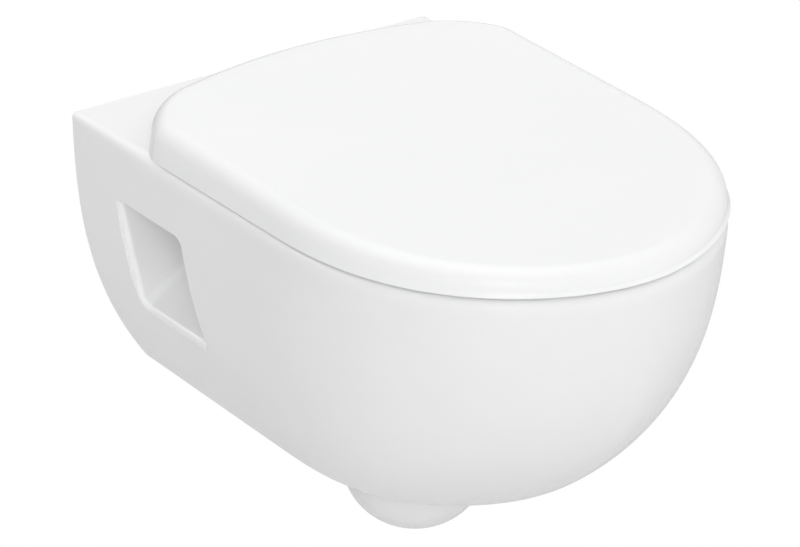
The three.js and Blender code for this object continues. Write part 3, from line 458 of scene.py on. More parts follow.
def recess_cutter(side):
    """From a rounded deep end, out along the spreading walls, and over a lip: soft where the thumb goes,
    at the wall side and below, and crisp at the front and top."""
    start = recess_end + recess_end_round
    rings = []
    for inward, down in rounding(6)[::-1]:
        rings.append(recess_ring(side, lambda z: recess_end + recess_end_round * inward,
                                 -recess_end_round * down))
    for share in np.linspace(0.1, 0.9, 7):
        rings.append(recess_ring(side, lambda z: start + (skirt_half(z) - lip - start) * share))
    for inward, down in rounding(10, 0.12)[::-1]:
        rings.append(recess_ring(side, lambda z: skirt_half(z) - lip * down, lip * inward))
    for out in (0.05, 12):
        rings.append(recess_ring(side, lambda z: skirt_half(z) + out, lip))
    return skin("recess", rings)


def recess_housing(side):
    """The wall round the recess, ending in the middle of the skirt's wall."""
    return skin("recess_housing", [
        recess_ring(side, lambda z: recess_end - recess_wall, 0, recess_wall),
        recess_ring(side, lambda z: skirt_half(z) - pan_wall / 2, 0, recess_wall)])


def block(low, high):
    """A plain block between two corners, as a tool for cutting."""
    (x0, y0, z0), (x1, y1, z1) = low, high
    return skin("block", [[(x0, y0, z), (x1, y0, z), (x1, y1, z), (x0, y1, z)] for z in (z0, z1)])


def about(axis, at, a, b, c):
    """Points round an axis through a point, from two distances across the axis and one along it."""
    order = {"x": (c, a, b), "y": (a, c, b), "z": (a, b, c)}[axis]
    return np.stack(order, -1) + np.array(at, float)


def turned(name, profile, axis, at, sides=64):
    """A lathe: profile points (radius, along) swept round an axis through a point. A profile that starts
    off the axis is a ring and closes on itself; one that starts on it is closed at both ends."""
    profile = np.array(profile, float)
    radius = np.maximum(profile[:, 0, None], 1e-3)
    turn = np.arange(sides) * 2 * np.pi / sides
    along = np.repeat(profile[:, 1, None], sides, 1)
    return skin(name, about(axis, at, radius * np.cos(turn), radius * np.sin(turn), along),
                loop=profile[0, 0] > 1e-6)


def rod(radius, start, end, axis, at, sides=64):
    """A plain round tool between two places along an axis."""
    return turned("rod", [(0, start), (radius, start), (radius, end), (0, end)], axis, at, sides)


def centre_of(node):
    """The middle of a solid's box, in millimetres."""
    low, high = extent(node)
    return (low + high) / 2


stud_at = [centre_of(f"stud_nut_{side}") for side in ("left", "right")]
hinge_at = [centre_of(f"hinge_rosette_{side}") for side in ("left", "right")]
inlet_at = (0, 0, centre_of("inlet_seal")[2])
pocket_half, pocket_deep, pocket_floor = 150, 40, -31
inlet_boss, stud_boss, bar_half, bar_rise = 41, 26, 90, 14
inlet_bore, neck_deep, stud_hole, stud_hole_deep = 27.5, 38, 9, 67
hinge_hole, hinge_hole_from, wing_room, wing_room_top = 7, 55, 20, 60
web_half, web_deep, web_top, water_wall = 30, 60, -130, 10


def back_hollows():
    """Pockets in the cast back, round the bosses of the studs, the bar between them and the inlet."""
    pocket = block((-pocket_half, -pocket_deep, pocket_floor), (pocket_half, over, rim - ledge))
    start, end = -pocket_deep - over, 2 * over
    stay = [rod(inlet_boss, start, end, "y", inlet_at),
            block((-bar_half, start, -bar_rise), (bar_half, end, bar_rise))]
    stay += [rod(stud_boss, start, end, "y", (x, 0, z)) for x, _, z in stud_at]
    return carved(pocket, *[("DIFFERENCE", tool) for tool in stay])


def whole_pan():
    """The outside less the hollow below, plus the walls of bowl, trap, water ways and recesses, less
    what runs through them."""
    walls = [bowl(pan_wall), belly(), trap_run("trap", trap_wall_shares, spigot, 8), flush_way(water_wall),
             block((-web_half, -belly_back, -belly_drop), (web_half, web_deep - belly_back, web_top)),
             recess_housing(-1), recess_housing(1)]
    holes = [back_hollows(), bowl(0), trap_run("waste", waste_way_shares, spigot_bore, -over), flush_way(0),
             rod(inlet_bore, -neck_deep, over, "y", inlet_at), recess_cutter(-1), recess_cutter(1)]
    for x, _, z in stud_at:
        holes.append(rod(stud_hole, -stud_hole_deep, over, "y", (x, 0, z)))
    for x, y, _ in hinge_at:
        holes.append(rod(hinge_hole, hinge_hole_from, rim + over, "z", (x, y, 0)))
        holes.append(rod(wing_room, recess_top, wing_room_top, "z", (x, y, 0)))
    body = carved(pan_outside(), ("DIFFERENCE", underside()))
    return carved(body, *[("UNION", tool) for tool in walls], *[("DIFFERENCE", tool) for tool in holes])


def new_finish(name, **values):
    """A material with one Principled shader; the values are set on its own sockets. Returns the material,
    a wire to build with, and the shader."""
    material = bpy.data.materials.new(name)
    material.use_nodes = True
    shader = material.node_tree.nodes["Principled BSDF"]
    for key, value in values.items():
        shader.inputs[key.replace("_", " ")].default_value = value
    return material, Wire(material.node_tree), shader


def noise(wire, scale, detail):
    """Noise in the piece's own coordinates."""
    place = wire.node("TexCoord", out="Object")
    return wire.node("TexNoise", inputs={"Vector": place, "Scale": scale, "Detail": detail})


def lay_on(wire, shader, colour, roughness, height, strength, depth):
    """Feeds a shader its colour, its roughness, and a bump that follows a height."""
    bump = wire.node("Bump", inputs={"Strength": strength, "Distance": depth, "Height": height})
    for socket, value in (("Base Color", colour), ("Roughness", roughness), ("Normal", bump)):
        wire.feed(shader.inputs[socket], value)


def glaze():
    """White glaze over china: a clear coat with the faint ripple of a sprayed glaze, a little uneven in
    tone, a greyer white painted on the belly below the skirt as painted shade, and bare matt biscuit where
    the pan stood in the kiln, at the foot and at the wall."""
    material, wire, shader = new_finish(
        "glaze", IOR=1.52, Coat_Weight=0.35, Coat_Roughness=0.03, Coat_IOR=1.5)
    cloud, spot, ripple = noise(wire, 9.0, 3.0), noise(wire, 260.0, 2.0), noise(wire, 34.0, 1.5)
    apart = wire.node("SeparateXYZ", inputs={"Vector": wire.node("TexCoord", out="Object")})
    depth, level = (Wire(wire.tree, apart.socket.node.outputs[axis]) for axis in "YZ")

    def between(value, start, end):
        """0 at the start, 1 at the end, and held beyond them."""
        return wire.node("MapRange", inputs={0: value, 1: start, 2: end, 3: 0.0, 4: 1.0})

    def mixed(share, first, second):
        """A colour part of the way from one to another."""
        return wire.node("Mix", {"data_type": "RGBA"}, {0: share, 6: first, 7: (*second, 1)}, out=2)

    foot = (rim - skirt_drop) / 1000
    bare = (between(level, foot + 0.0017, foot + 0.0003) * between(level, foot - 0.0017, foot - 0.0003)
            + between(depth, -0.0012, -0.0004))
    bare = bare.math("MINIMUM", bare, 1.0)
    tones = [(0.3, (0.845, 0.852, 0.848)), (0.7, (0.868, 0.872, 0.868))]
    white = wire.node("ValToRGB", {"stops": tones}, {"Fac": cloud})
    # Painted shade: below the skirt the belly's white is mixed towards a grey, for the shade under the skirt.
    white = mixed(between(level, -0.160, -0.176), white, (0.80, 0.803, 0.80))
    lay_on(wire, shader, mixed(bare, white, (0.80, 0.775, 0.735)),
           0.10 + 0.05 * cloud + bare * 0.55 + bare * spot * 0.2,
           ripple * 0.8 + spot * 0.04 + bare * spot * 2.0, 0.05, 0.0006)
    return material


def dress(piece, finish, body, *nodes, degrees=32):
    """Shades a piece smooth, except across edges sharper than an angle, gives it the material of its finish,
    and sets it in place of its solids, on their body."""
    material, slot = finish
    mesh = piece.data
    mesh.shade_smooth()
    mesh.set_sharp_from_angle(angle=math.radians(degrees))
    mesh.materials.clear()
    mesh.materials.append(material)
    mesh.polygons.foreach_set("material_index", np.zeros(len(mesh.polygons), np.int32))
    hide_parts(*nodes)
    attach(piece, body)


pan = whole_pan()
evener = pan.modifiers.new("evener", "WEIGHTED_NORMAL")
evener.keep_sharp = True
dress(pan, (glaze(), "glaze"), "pan", *[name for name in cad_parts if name.startswith("pan_")])


# The lid
# A shell pressed from hard white plastic, 4 mm thick. It wraps down over the seat to just above the rim, is
# higher at the wall than at the front, and rolls over a wide soft shoulder into a barely domed top.
lid_half = extent("lid_shell")[1][0]
lid_gap, lid_rear, lid_bow, lid_corner = 1.8, 48.9, 15.8, (66.8, 63, 1.5)
lid_front_rise, lid_rear_rise = 17.4, 33.2
shoulder, draft, crown, lid_wall = 15, 2.3, 2.5, 4
edge_round, outer_round, foot_inset = 0.8, 0.5, 0.1
axis_back, axis_level = 70, 105
hinge_line = (0, -axis_back, axis_level)


def cover_plan(inset, rear, bow, corner, back_steps=20, corner_steps=18, side_steps=14, nose_steps=46):
    """Half a closed outline, mirrored: the back edge falls away as bow * share ^ 2; the corner (its size
    across and along, and a power) turns it into the side by sin ^ (2 / power) across and 1 - cos ^ (2 /
    power) along; the pan's own nose ends it. Everything is drawn in by the inset."""
    half = lid_half - inset
    across, along, power = corner[0] - inset, corner[1] - inset, 2 / corner[2]
    inner = half - across
    share = np.linspace(0, 1, back_steps, endpoint=False)
    back = np.stack([inner * share, rear + inset + bow * share ** 2], -1)
    angle = quarter(corner_steps)
    bend = np.stack([inner + across * np.sin(angle) ** power,
                     rear + inset + bow + along * (1 - np.clip(np.cos(angle), 0, 1) ** power)], -1)
    line = np.linspace(bend[-1, 1], rim_straight, side_steps)[1:-1]
    side = np.stack([np.full(len(line), half), line], -1)
    tip = nose(half, rim_straight, pan_front - inset, rim_nose, np.linspace(0, 1, nose_steps))
    right = np.concatenate([back, bend, side, tip])
    return np.concatenate([right, right[-2:0:-1] * (-1, 1)])


def lid_plan(inset):
    """The lid's outline, drawn in by an inset."""
    return cover_plan(inset, lid_rear, lid_bow, lid_corner)


def lid_top(y):
    """The lid's top falls in a straight line from the wall side to the front."""
    share = (y - lid_rear) / (pan_front - lid_rear)
    return rim + lid_gap + lid_rear_rise + (lid_front_rise - lid_rear_rise) * share


def at_level(plan, level):
    """A plan outline at a level, which may depend on the distance from the wall."""
    z = level(plan[:, 1]) if callable(level) else np.full(len(plan), level)
    return np.column_stack([plan[:, 0], -plan[:, 1], z])


def lid_roof(sunk):
    """From the middle of the crown out over the shoulder, all sunk by a thickness. The crown rises as (1 -
    share ^ 2) ^ 1.5 and the shoulder is a quarter circle."""
    rings = []
    rim_plan = lid_plan(draft + shoulder)
    middle = np.array([0, (lid_rear + pan_front) / 2])
    for share in np.linspace(0.02, 1, 16, endpoint=False):
        rings.append(at_level(middle + (rim_plan - middle) * share,
                              lambda y: lid_top(y) + crown * (1 - share ** 2) ** 1.5 - sunk))
    radius = shoulder - sunk
    for angle in quarter(14)[::-1]:
        rings.append(at_level(lid_plan(draft + shoulder - radius * np.cos(angle)),
                              lambda y: lid_top(y) - shoulder + radius * np.sin(angle)))
    return rings


def lid_inside():
    """The room under the roof, 1 mm inside it, as a tool that trims what hangs there."""
    return skin("room", [*lid_roof(1), at_level(lid_plan(draft + 1), rim - 20)])


def lid_skin():
    """The roof, the drafted edge down to its foot, round that, and back up inside to a flat ceiling."""
    rings = lid_roof(0)
    foot = rim + lid_gap
    for inward, down in rounding(5):
        rings.append(at_level(lid_plan(foot_inset + outer_round * down), foot + outer_round * inward))
    for inward, down in rounding(5)[::-1]:
        rings.append(at_level(lid_plan(lid_wall - edge_round * down), foot + edge_round * inward))
    return skin("lid", rings + lid_roof(lid_wall)[::-1])


eye_radius, outer_eye, eye_wall, eye_clear = 9, 7, 1.7, 0.6
long_at, long_length, short_at, short_length = 21, 48, 86, 22
back_open, back_open_below, lip_half, lip_back, lip_rise, lug_back = 78, 3, 112, 5, 9, 7


def barrel(radius, start, end, round_=0.8):
    """A hinge barrel on the axis, with its two end edges rounded."""
    head = [(radius - round_ * inward, start + round_ * down) for inward, down in rounding(5)]
    tail = [(radius - round_ * down, end - round_ * inward) for inward, down in rounding(5)]
    return turned("barrel", [(0, start), *head, *tail, (0, end)], "x", hinge_line)


def knuckle(side, kind, arm_front, arm_low, arm_high, arm_back=0, room=None):
    """A barrel with the arm that joins it to its lid or seat, trimmed to the room it hangs in, and the bore
    for what fills it. The long kind is closed at its inner end."""
    inner, length, radius, closed = {"long": (long_at, long_length, eye_radius, eye_wall),
                                     "short": (short_at, short_length, outer_eye, -over)}[kind]
    ends = sorted((side * inner, side * (inner + length)))
    bore = sorted((side * (inner + closed), side * (inner + length + over)))
    arm = block((ends[0], -axis_back - arm_front, arm_low), (ends[1], -axis_back + arm_back, arm_high))
    if room:
        arm = carved(arm, ("INTERSECT", room))
    return [("UNION", barrel(radius, *ends)), ("UNION", arm),
            ("DIFFERENCE", rod(radius - eye_wall, *bore, "x", hinge_line))]


def whole_lid():
    """The shell, open at the back round the hinges, with its long barrel right and short one left."""
    roof = lid_top(axis_back) - lid_wall + 1
    cuts = [block((-lid_half, -back_open, rim - over), (lid_half, 0, axis_level - back_open_below)),
            block((-lip_half, -axis_back + lip_back, rim - over), (lip_half, 0, axis_level + lip_rise)),
            rod(eye_radius + eye_clear, -lip_half, lip_half, "x", hinge_line)]
    body = carved(lid_skin(), *[("DIFFERENCE", tool) for tool in cuts])
    return carved(body, *knuckle(1, "long", eye_radius, axis_level, roof, lug_back, lid_inside()),
                  *knuckle(-1, "short", outer_eye, axis_level, roof, lug_back, lid_inside()))


def seat_gloss():
    """Hard white pressed plastic: a plain gloss with a very fine grain and a slow change of sheen."""
    material, wire, shader = new_finish("seat_gloss", IOR=1.5, Coat_Weight=0.15, Coat_Roughness=0.06)
    cloud, grain = noise(wire, 6.0, 3.0), noise(wire, 900.0, 2.0)
    tones = [(0.3, (0.885, 0.892, 0.889)), (0.7, (0.900, 0.905, 0.902))]
    white = wire.node("ValToRGB", {"stops": tones}, {"Fac": cloud})
    lay_on(wire, shader, white, 0.20 + 0.06 * cloud + 0.03 * grain, grain * 0.5 + cloud * 2.0, 0.04, 0.0002)
    return material


gloss_plastic = seat_gloss(), "seat_plastic"
dress(whole_lid(), gloss_plastic, "lid", "lid_shell")


# The seat
# A ring of the same hard plastic under the lid, flat below, softly rounded outside and dished towards its
# oval mouth. It hangs on a long barrel left and a short one right.
seat_low = extent("seat_ring")[0][2]
seat_clear, seat_rear, seat_corner = 2.8, 106, 55
mouth_half, mouth_rear, mouth_front, seat_dish, mouth_round = 113, 152, 440, 2.5, 5
seat_inset = draft + lid_wall + seat_clear
arm_reach, arm_rise, long_arm_fall, short_arm_fall, peg_hole, peg_deep = 48, 4, 8, 7, 2.9, 3.3


def seat_plan(inset):
    """The seat's outline, drawn in by an inset from the lid's."""
    corner = seat_corner + seat_inset
    return cover_plan(inset, seat_rear - seat_inset, 0, (corner, corner, 2))


def seat_top(y):
    """The seat's top, which keeps its clearance under the lid's ceiling."""
    return lid_top(y) - lid_wall - seat_clear


def mouth_plan(plan, grow):
    """Where rays from the middle of the mouth to the outline's points cross the mouth's oval."""
    middle = (mouth_rear + mouth_front) / 2
    x, y = plan[:, 0], plan[:, 1] - middle
    reach = 1 / np.hypot(x / (mouth_half + grow), y / ((mouth_front - mouth_rear) / 2 + grow))
    return np.stack([x * reach, middle + y * reach], -1)


def seat_skin():
    """Up the outer edge, over the top, which sinks in a smooth curve towards the mouth, and down round
    the mouth's edge; the underside closes it."""
    outer = seat_plan(seat_inset)
    radius = shoulder - lid_wall - seat_clear
    rings = [at_level(seat_plan(seat_inset + edge_round * inward), seat_low + edge_round * down)
             for inward, down in rounding(4)]
    for inward, down in rounding(10):
        rings.append(at_level(seat_plan(seat_inset + radius * down),
                              lambda y: seat_top(y) - radius * inward))
    top_plan = seat_plan(seat_inset + radius)
    inner_plan = mouth_plan(outer, mouth_round)
    for share in np.linspace(0, 1, 12)[1:-1]:
        rings.append(at_level(top_plan + (inner_plan - top_plan) * share,
                              lambda y: seat_top(y) - seat_dish * share ** 1.5))
    for inward, down in rounding(8):
        rings.append(at_level(mouth_plan(outer, mouth_round * inward),
                              lambda y: seat_top(y) - seat_dish - mouth_round * down))
    for inward, down in rounding(4)[::-1]:
        rings.append(at_level(mouth_plan(outer, edge_round * inward), seat_low + edge_round * down))
    return skin("seat", rings, loop=True)


def whole_seat():
    """The ring with its arms, its barrels and the holes of its buffers."""
    steps = knuckle(-1, "long", arm_reach, axis_level - long_arm_fall, axis_level + arm_rise)
    steps += knuckle(1, "short", arm_reach, axis_level - short_arm_fall, axis_level + arm_rise)
    for x, y, _ in buffer_at:
        steps.append(("DIFFERENCE", rod(peg_hole, seat_low - over, seat_low + peg_deep, "z", (x, y, 0), 24)))
    return carved(seat_skin(), *steps)


buffer_names = [f"seat_buffer_{end}_{side}" for end in ("front", "rear") for side in ("left", "right")]
buffer_at = [centre_of(name) for name in buffer_names]
dress(whole_seat(), gloss_plastic, "seat", "seat_ring")


# The buffers
# Pads of pale soft plastic. Four under the seat are rounded oblongs on a peg, and two round ones are glued
# under the lid, near its front.
def rounded_plan(half_x, half_y, radius, steps=8):
    """A rectangle with quarter circles for corners, about its own middle."""
    turn = np.concatenate([(k + np.linspace(0, 1, steps)) * np.pi / 2 for k in range(4)])
    cx = np.repeat([1, -1, -1, 1], steps) * (half_x - radius)
    cy = np.repeat([1, 1, -1, -1], steps) * (half_y - radius)
    return np.stack([cx + radius * np.cos(turn), cy + radius * np.sin(turn)], -1)


def pillow(name, half_x, half_y, corner, low, high, round_, at):
    """A rounded oblong whose top and bottom edges are quarter circles."""
    stages = [(round_ * inward, low + round_ * down) for inward, down in rounding(5)]
    stages += [(round_ * down, high - round_ * inward) for inward, down in rounding(5)]
    rings = []
    for inset, level in stages:
        plan = rounded_plan(half_x - inset, half_y - inset, corner - inset)
        rings.append(np.column_stack([plan, np.full(len(plan), level)]))
    return skin(name, np.array(rings) + np.array([*at, 0]))


def soft_plastic(name, tone, roughness):
    """Matt moulded plastic or rubber, with the fine grain of its mould and a slight bloom."""
    material, wire, shader = new_finish(name, IOR=1.48)
    grain, bloom = noise(wire, 1400.0, 3.0), noise(wire, 60.0, 4.0)
    dark = tuple(channel * 0.94 for channel in tone)
    colour = wire.node("ValToRGB", {"stops": [(0.3, dark), (0.7, tone)]}, {"Fac": bloom})
    lay_on(wire, shader, colour, roughness + 0.12 * bloom, grain + bloom, 0.25, 0.0001)
    return material


gap = 0.3
pad_corner, pad_round, peg_radius = 4, 0.7, 2.6
disc_radius, disc_foot, disc_air = 7, 5.6, 0.6
pale_buffer = soft_plastic("pale_buffer", (0.72, 0.72, 0.70), 0.5), "pale_rubber"
for name, (x, y, _) in zip(buffer_names, buffer_at):
    low, high = extent(name)
    half_x, half_y, _ = (high - low) / 2
    top = seat_low - gap
    pad = pillow(name + "_pad", half_x, half_y, pad_corner, low[2], top, pad_round, (x, y))
    peg = rod(peg_radius, top - 0.5, high[2], "z", (x, y, 0), 24)
    dress(carved(pad, ("UNION", peg)), pale_buffer, "seat", name)
for name in ("lid_buffer_left", "lid_buffer_right"):
    x, y, _ = centre_of(name)
    low = disc_air - seat_clear
    profile = [(0, low), (disc_foot, low), (disc_foot + 1, low + 0.4), (disc_radius, low + 1.1),
               (disc_radius, -0.1), (disc_radius - 0.1, 0), (0, 0)]
    pad = turned(name + "_pad", profile, "z", (x, y, lid_top(-y) - lid_wall - gap), 48)
    fall = (lid_rear_rise - lid_front_rise) / (pan_front - lid_rear)
    pad.data.transform(Matrix([(1, 0, 0, 0), (0, 1, 0, 0), (0, fall, 1, -fall * y / 1000), (0, 0, 0, 1)]))
    dress(pad, pale_buffer, "lid", name)


# The hinges
# A chromed post stands on each rosette behind the seat and clicks down over a mushroom headed stud. A steel
# pin through its eye carries the seat's barrel on one side and the lid's on the other; a button frees it.
post_rear, post_front, post_nose, post_soft = 6.5, 12.5, 8.7, 1.0
bore, pin_radius, socket_radius, damper_hole = 3.3, 3, 5.5, 24.3


def eased(points, radius, steps=5, closed=True):
    """An outline with its corners turned into curves: from a point short of the corner, with the corner as
    its handle, to one past it, each at most 0.45 of the side away. An open outline keeps its two ends."""
    points = np.array(points, float)
    before, after = np.roll(points, 1, 0), np.roll(points, -1, 0)
    result = []
    for k, (a, p, b) in enumerate(zip(before, points, after)):
        if not closed and k in (0, len(points) - 1):
            result.append(p[None])
            continue
        back, ahead = a - p, b - p
        near, far = np.hypot(*back), np.hypot(*ahead)
        start = p + back * min(radius / near, 0.45)
        end = p + ahead * min(radius / far, 0.45)
        s = np.linspace(0, 1, steps)[:, None]
        result.append((1 - s) ** 2 * start + 2 * s * (1 - s) * p + s ** 2 * end)
    return np.concatenate(result)


def post_outline(inset):
    """The post in section: a foot, a low nose in front, a tangent up to the round of the eye, and a
    straight back, all drawn in by an inset."""
    front, rear, eye = post_front - inset, post_rear - inset, eye_radius - inset
    foot = extent("hinge_post_left")[0][2] - axis_level + inset
    top = foot + post_nose - 2 * inset
    away = math.atan2(top, -front) + 2 * math.pi
    turn = np.linspace(away - math.acos(eye / math.hypot(front, top)), -math.acos(rear / eye), 36)
    arc = np.stack([eye * np.cos(turn), eye * np.sin(turn)], -1)
    nose_part = eased([arc[-1], (rear, foot), (-front, foot), (-front, top), arc[0]], 1.2, 5, False)
    return np.concatenate([nose_part[1:-1], arc])


def both_faces(steps):
    """A rounding on each of a piece's two faces across X, from the left one to the right: -1 or 1, how far
    the face is from its full width, and how far its outline is drawn in, both as shares."""
    return ([(-1, short, inward) for short, inward in rounding(steps)[::-1]]
            + [(1, short, inward) for short, inward in rounding(steps)])


def soft_post(middle, half):
    """The post's section across X, with softly rounded edges. The outline's two values are the distances
    behind and above the hinge line."""
    rings = []
    for end, short, inward in both_faces(5):
        plan = post_outline(post_soft * inward)
        out = middle + end * (half - post_soft * short)
        rings.append(np.column_stack([np.full(len(plan), out), plan + (-axis_back, axis_level)]))
    return skin("post", rings)


def soft_block(name, low, high, round_):
    """A block with every edge rounded."""
    middle, half = (low + high) / 2, (high - low) / 2
    return pillow(name, half[0], half[1], round_ * 1.01, low[2], high[2], round_, middle[:2])


def metal(name, tone, roughness, wear):
    """Bare or plated metal: its tone, the fine scatter of its polish, and cloudy wear that dulls it."""
    material, wire, shader = new_finish(name, Metallic=1.0)
    cloud, lines = noise(wire, 120.0, 5.0), noise(wire, 1800.0, 2.0)
    dull = tuple(channel * 0.86 for channel in tone)
    colour = wire.node("ValToRGB", {"stops": [(0.35, dull), (0.6, tone)]}, {"Fac": cloud})
    lay_on(wire, shader, colour, roughness + wear * cloud ** 2 + wear * 0.3 * lines, lines + cloud,
           0.08, 0.0001)
    return material


chrome = metal("chrome", (0.80, 0.81, 0.82), 0.06, 0.10), "polished_steel"
zinc = metal("zinc_plate", (0.62, 0.63, 0.64), 0.24, 0.30), "steel"
grey_moulding = soft_plastic("grey_moulding", (0.30, 0.31, 0.32), 0.42), "grey_plastic"
white_moulding = soft_plastic("white_moulding", (0.78, 0.78, 0.76), 0.38), "white_plastic"
black_rubber = soft_plastic("black_rubber", (0.028, 0.028, 0.030), 0.66), "rubber"

for side in ("left", "right"):
    low, high = extent(f"hinge_post_{side}")
    stud_x, stud_y, _ = centre_of(f"seat_stud_{side}")
    stud_top = extent(f"seat_stud_{side}")[1][2] + 2 * gap
    key_low, key_high = extent(f"release_button_{side}")
    middle, half = (low[0] + high[0]) / 2, (high[0] - low[0]) / 2
    socket = eased([(0, low[2] - over), (socket_radius, low[2] - over), (socket_radius, stud_top),
                    (0, stud_top)], 1, 4, False)
    pocket = block(key_low - (gap, over, gap), key_high + (gap, 2 + gap, gap))
    pin_room = rod(bore, middle - 10, middle + 10, "x", hinge_line, 40)
    post = carved(soft_post(middle, half), ("DIFFERENCE", pin_room),
                  ("DIFFERENCE", turned("socket", socket, "z", (stud_x, stud_y, 0), 40)),
                  ("DIFFERENCE", pocket))
    dress(post, chrome, "hinge_set", f"hinge_post_{side}", degrees=40)
    dress(soft_block("key", key_low, key_high, 0.7), chrome, f"release_button_{side}",
          f"release_button_{side}", degrees=50)
    low, high = extent(f"hinge_pin_{side}")
    profile = [(0, low[0]), (pin_radius, low[0]), (pin_radius, high[0]), (0, high[0])]
    pin = turned("pin", eased(profile, 0.5, 4, False), "x", hinge_line, 40)
    dress(pin, zinc, "hinge_set", f"hinge_pin_{side}")

for body, damper_side in (("seat", -1), ("lid", 1)):
    plugs = ("damper", damper_side, grey_moulding), ("bush", -damper_side, white_moulding)
    for kind, sign, finish in plugs:
        low, high = extent(f"{body}_{kind}")
        radius = (high[2] - low[2]) / 2
        near, far = (low[0], high[0]) if sign > 0 else (high[0], low[0])
        profile = eased([(0, near), (radius, near), (radius, far), (0, far)], 0.6, 4, False)
        start = far - sign * damper_hole if kind == "damper" else near - sign * over
        hole = rod(bore, *sorted((start, far + sign * over)), "x", hinge_line, 40)
        plug = carved(turned("plug", profile, "x", hinge_line, 48), ("DIFFERENCE", hole))
        dress(plug, finish, body, f"{body}_{kind}")


# The seat's fixings
# Each rosette is held down by a stud through the flat top: a mushroom head above, a rubber cone that
# centres it in its hole, and a cupped washer and wing nut below, reached through the hand recess.
def threaded(name, profile, start, end, pitch, axis, at, sides=36):
    """A lathe whose profile is cut by a right hand thread between two places: the radius falls by 0.61 of
    the pitch where along / pitch - turn / full turn is halfway between whole numbers. Straight parts of the
    profile within it are divided into sixths of the pitch."""
    profile = np.array(profile, float)
    fine = [profile[:1]]
    for a, b in zip(profile[:-1], profile[1:]):
        crosses = min(a[1], b[1]) < end and max(a[1], b[1]) > start
        steps = max(1, math.ceil(abs(b[1] - a[1]) / pitch * 6)) if crosses else 1
        fine.append(a + (b - a) * (np.arange(1, steps + 1) / steps)[:, None])
    radius, along = np.concatenate(fine).T
    turn = np.arange(sides) / sides
    phase = (along[:, None] / pitch + (turn if axis == "y" else -turn)) % 1
    fade = np.clip((along - start) / pitch, 0, 1) * np.clip((end - along) / pitch, 0, 1)
    groove = np.clip(1.25 * (1 - np.abs(2 * phase - 1)) - 0.125, 0, 1) * fade[:, None]
    reach = np.maximum(radius[:, None] - 0.61 * pitch * groove * (radius > 1)[:, None], 1e-3)
    turn = turn * 2 * np.pi
    along = np.repeat(along[:, None], sides, 1)
    return skin(name, about(axis, at, reach * np.cos(turn), reach * np.sin(turn), along))


def wing(sign, low, high):
    """One wing of the nut in outline, swept across its thickness with rounded edges."""
    rise = high - low
    shape = eased([(4, low + rise * 0.45), (11, low), (15.2, low), (16, low + rise * 0.5),
                   (13, low + rise * 0.95), (4, low + rise)], 2.5)
    centre = shape.mean(0)
    rings = []
    for end, short, inward in both_faces(4):
        plan = centre + (shape - centre) * (1 - 0.1 * inward)
        thick = np.full(len(plan), end * (1.5 - 0.6 * short))
        rings.append(np.column_stack([sign * plan[:, 0], thick, plan[:, 1]]))
    return np.array(rings)


seat_stud, seat_stud_head, seat_stud_collar, hub_radius = 3, 5, 4.4, 6.5
for side in ("left", "right"):
    low, high = extent(f"hinge_rosette_{side}")
    at = (*((low + high) / 2)[:2], 0)
    foot, top, wide = low[2], high[2], (high[0] - low[0]) / 2
    disc = eased([(bore, foot), (wide, foot), (wide, top - 1.2), (wide - 1.2, top), (bore, top)], 0.8)
    dress(turned("rosette", disc, "z", at, 96), chrome, "pan", f"hinge_rosette_{side}", degrees=50)

    low, high = extent(f"seat_stud_{side}")
    foot, peak = low[2], high[2]
    head, collar = peak - 3.5, top + gap
    shape = [(0, foot), (seat_stud, foot), (seat_stud, collar), (seat_stud_collar, collar),
             (seat_stud_collar, collar + 1), (seat_stud, collar + 1), (seat_stud, head),
             (seat_stud_head, head), (seat_stud_head, peak - 1.6), (3.4, peak), (0, peak)]
    stud = threaded("stud", eased(shape, 0.3, 4, False), foot, rim - 2, 1, "z", at)
    dress(stud, zinc, "pan", f"seat_stud_{side}", degrees=45)

    low, high = extent(f"rubber_cone_{side}")
    wide = (high[0] - low[0]) / 2
    cone = eased([(bore, low[2]), (4.6, low[2]), (wide, high[2]), (bore, high[2])], 0.4)
    dress(turned("cone", cone, "z", at), black_rubber, "pan", f"rubber_cone_{side}")

    low, high = extent(f"stud_cup_washer_{side}")
    foot, top, wide = low[2], high[2], (high[0] - low[0]) / 2
    inner = wide - (top - foot)
    shape = [(bore, foot), (wide, foot), (wide, top), (inner, top), (inner, top - 1.4), (bore, top - 1.4)]
    dress(turned("cup_washer", eased(shape, 0.4), "z", at), white_moulding, "pan",
          f"stud_cup_washer_{side}")

    low, high = extent(f"wing_nut_{side}")
    foot, top = low[2], high[2]
    hub = eased([(0, foot), (hub_radius, foot), (hub_radius, top), (0, top)], 0.8, 5, False)
    wings = [("UNION", skin("wing", wing(sign, foot, top - 3) + at)) for sign in (-1, 1)]
    nut = carved(turned("wing_nut", hub, "z", at, 48), *wings,
                 ("DIFFERENCE", rod(bore, foot - over, top + over, "z", at, 40)))
    dress(nut, white_moulding, "pan", f"wing_nut_{side}", degrees=40)


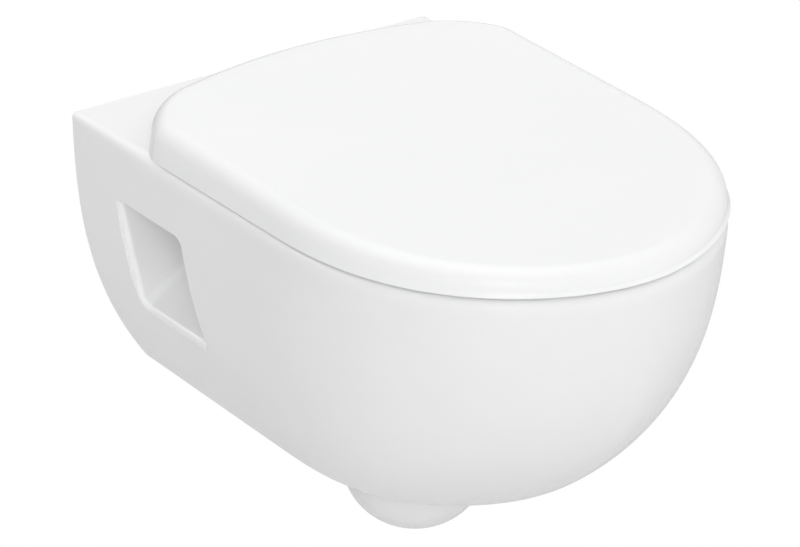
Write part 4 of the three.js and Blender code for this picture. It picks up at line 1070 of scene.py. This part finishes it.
# The wall fixings
# Two long studs come out of the wall through plastic sleeves in the pan's back. Washers and nuts in the
# hand recesses draw the pan to the wall, and caps cover them.
stud_room, washer_radius, sleeve_radius, nut_across, stud_pitch = 6.3, 14, 8.7, 18, 1.75
for side in ("left", "right"):
    low, high = extent(f"wall_stud_{side}")
    x, _, z = (low + high) / 2
    at = (x, 0, z)
    front, back, radius = low[1], high[1], (high[0] - low[0]) / 2
    end = radius - 1.2
    shape = [(0, front), (end, front), (radius, front + 1.2), (radius, back - 1.2), (end, back), (0, back)]
    stud = threaded("wall_stud", shape, front, back, stud_pitch, "y", at, 48)
    dress(stud, zinc, "pan", f"wall_stud_{side}", degrees=45)

    front, back = (corner[1] for corner in extent(f"stud_sleeve_{side}"))
    shape = [(stud_room, front), (washer_radius, front), (washer_radius, front + 3),
             (sleeve_radius, front + 3), (sleeve_radius, back), (stud_room, back)]
    dress(turned("sleeve", eased(shape, 0.5), "y", at), grey_moulding, "pan", f"stud_sleeve_{side}")

    front, back = (corner[1] for corner in extent(f"stud_washer_{side}"))
    shape = [(stud_room, front), (washer_radius, front), (washer_radius, back), (stud_room, back)]
    dress(turned("washer", eased(shape, 0.35), "y", at), zinc, "pan", f"stud_washer_{side}")

    front, back = (corner[1] for corner in extent(f"stud_nut_{side}"))
    turn = np.arange(6) * np.pi / 3
    corner = nut_across / math.sqrt(3)
    hexagon = [np.column_stack([x + corner * np.cos(turn), np.full(6, y), z + corner * np.sin(turn)])
               for y in (front, back)]
    cone = [(0, front - 0.1), (8.9, front - 0.1), (corner + 0.1, front + 0.9), (corner + 0.1, back - 0.9),
            (8.9, back + 0.1), (0, back + 0.1)]
    nut = carved(skin("nut", hexagon), ("INTERSECT", turned("cone", cone, "y", at)),
                 ("DIFFERENCE", rod(stud_room, front - over, back + over, "y", at, 48)))
    dress(nut, zinc, "pan", f"stud_nut_{side}", degrees=30)

    low, high = extent(f"nut_cap_{side}")
    front, back, wide = low[1], high[1], (high[0] - low[0]) / 2
    shape = [(0, front + 2), (wide - 2, front + 2), (wide - 2, back), (wide, back), (wide, front), (0, front)]
    dress(turned("cap", eased(shape, 3.2, 8, False), "y", at), white_moulding, "pan", f"nut_cap_{side}")


# The seals
# Rubber rings in the flush inlet and round the waste spigot, each with two lips that grip the pipe.
seal_wall = 3.5


def seal(node, lip_rise):
    """A ring with two lips, towards its axis or away from it by the sign of the rise."""
    low, high = extent(node)
    x, _, z = (low + high) / 2
    front, back = low[1], high[1]
    outer = (high[0] - low[0]) / 2
    if lip_rise < 0:
        plain, gripping = outer, outer - seal_wall
    else:
        plain, gripping = outer - lip_rise - seal_wall, outer - lip_rise
    shape = [(plain, back), (plain, front), (gripping, front)]
    for share in (0.25, 0.75):
        middle = front + (back - front) * share
        shape += [(gripping, middle - 1.5), (gripping + lip_rise, middle), (gripping, middle + 1.5)]
    shape.append((gripping, back))
    ring = turned(node + "_ring", eased(shape, 0.5), "y", (x, 0, z), 128)
    dress(ring, black_rubber, "pan", node, degrees=50)


seal("inlet_seal", -1.5)
seal("outlet_seal", 1.5)
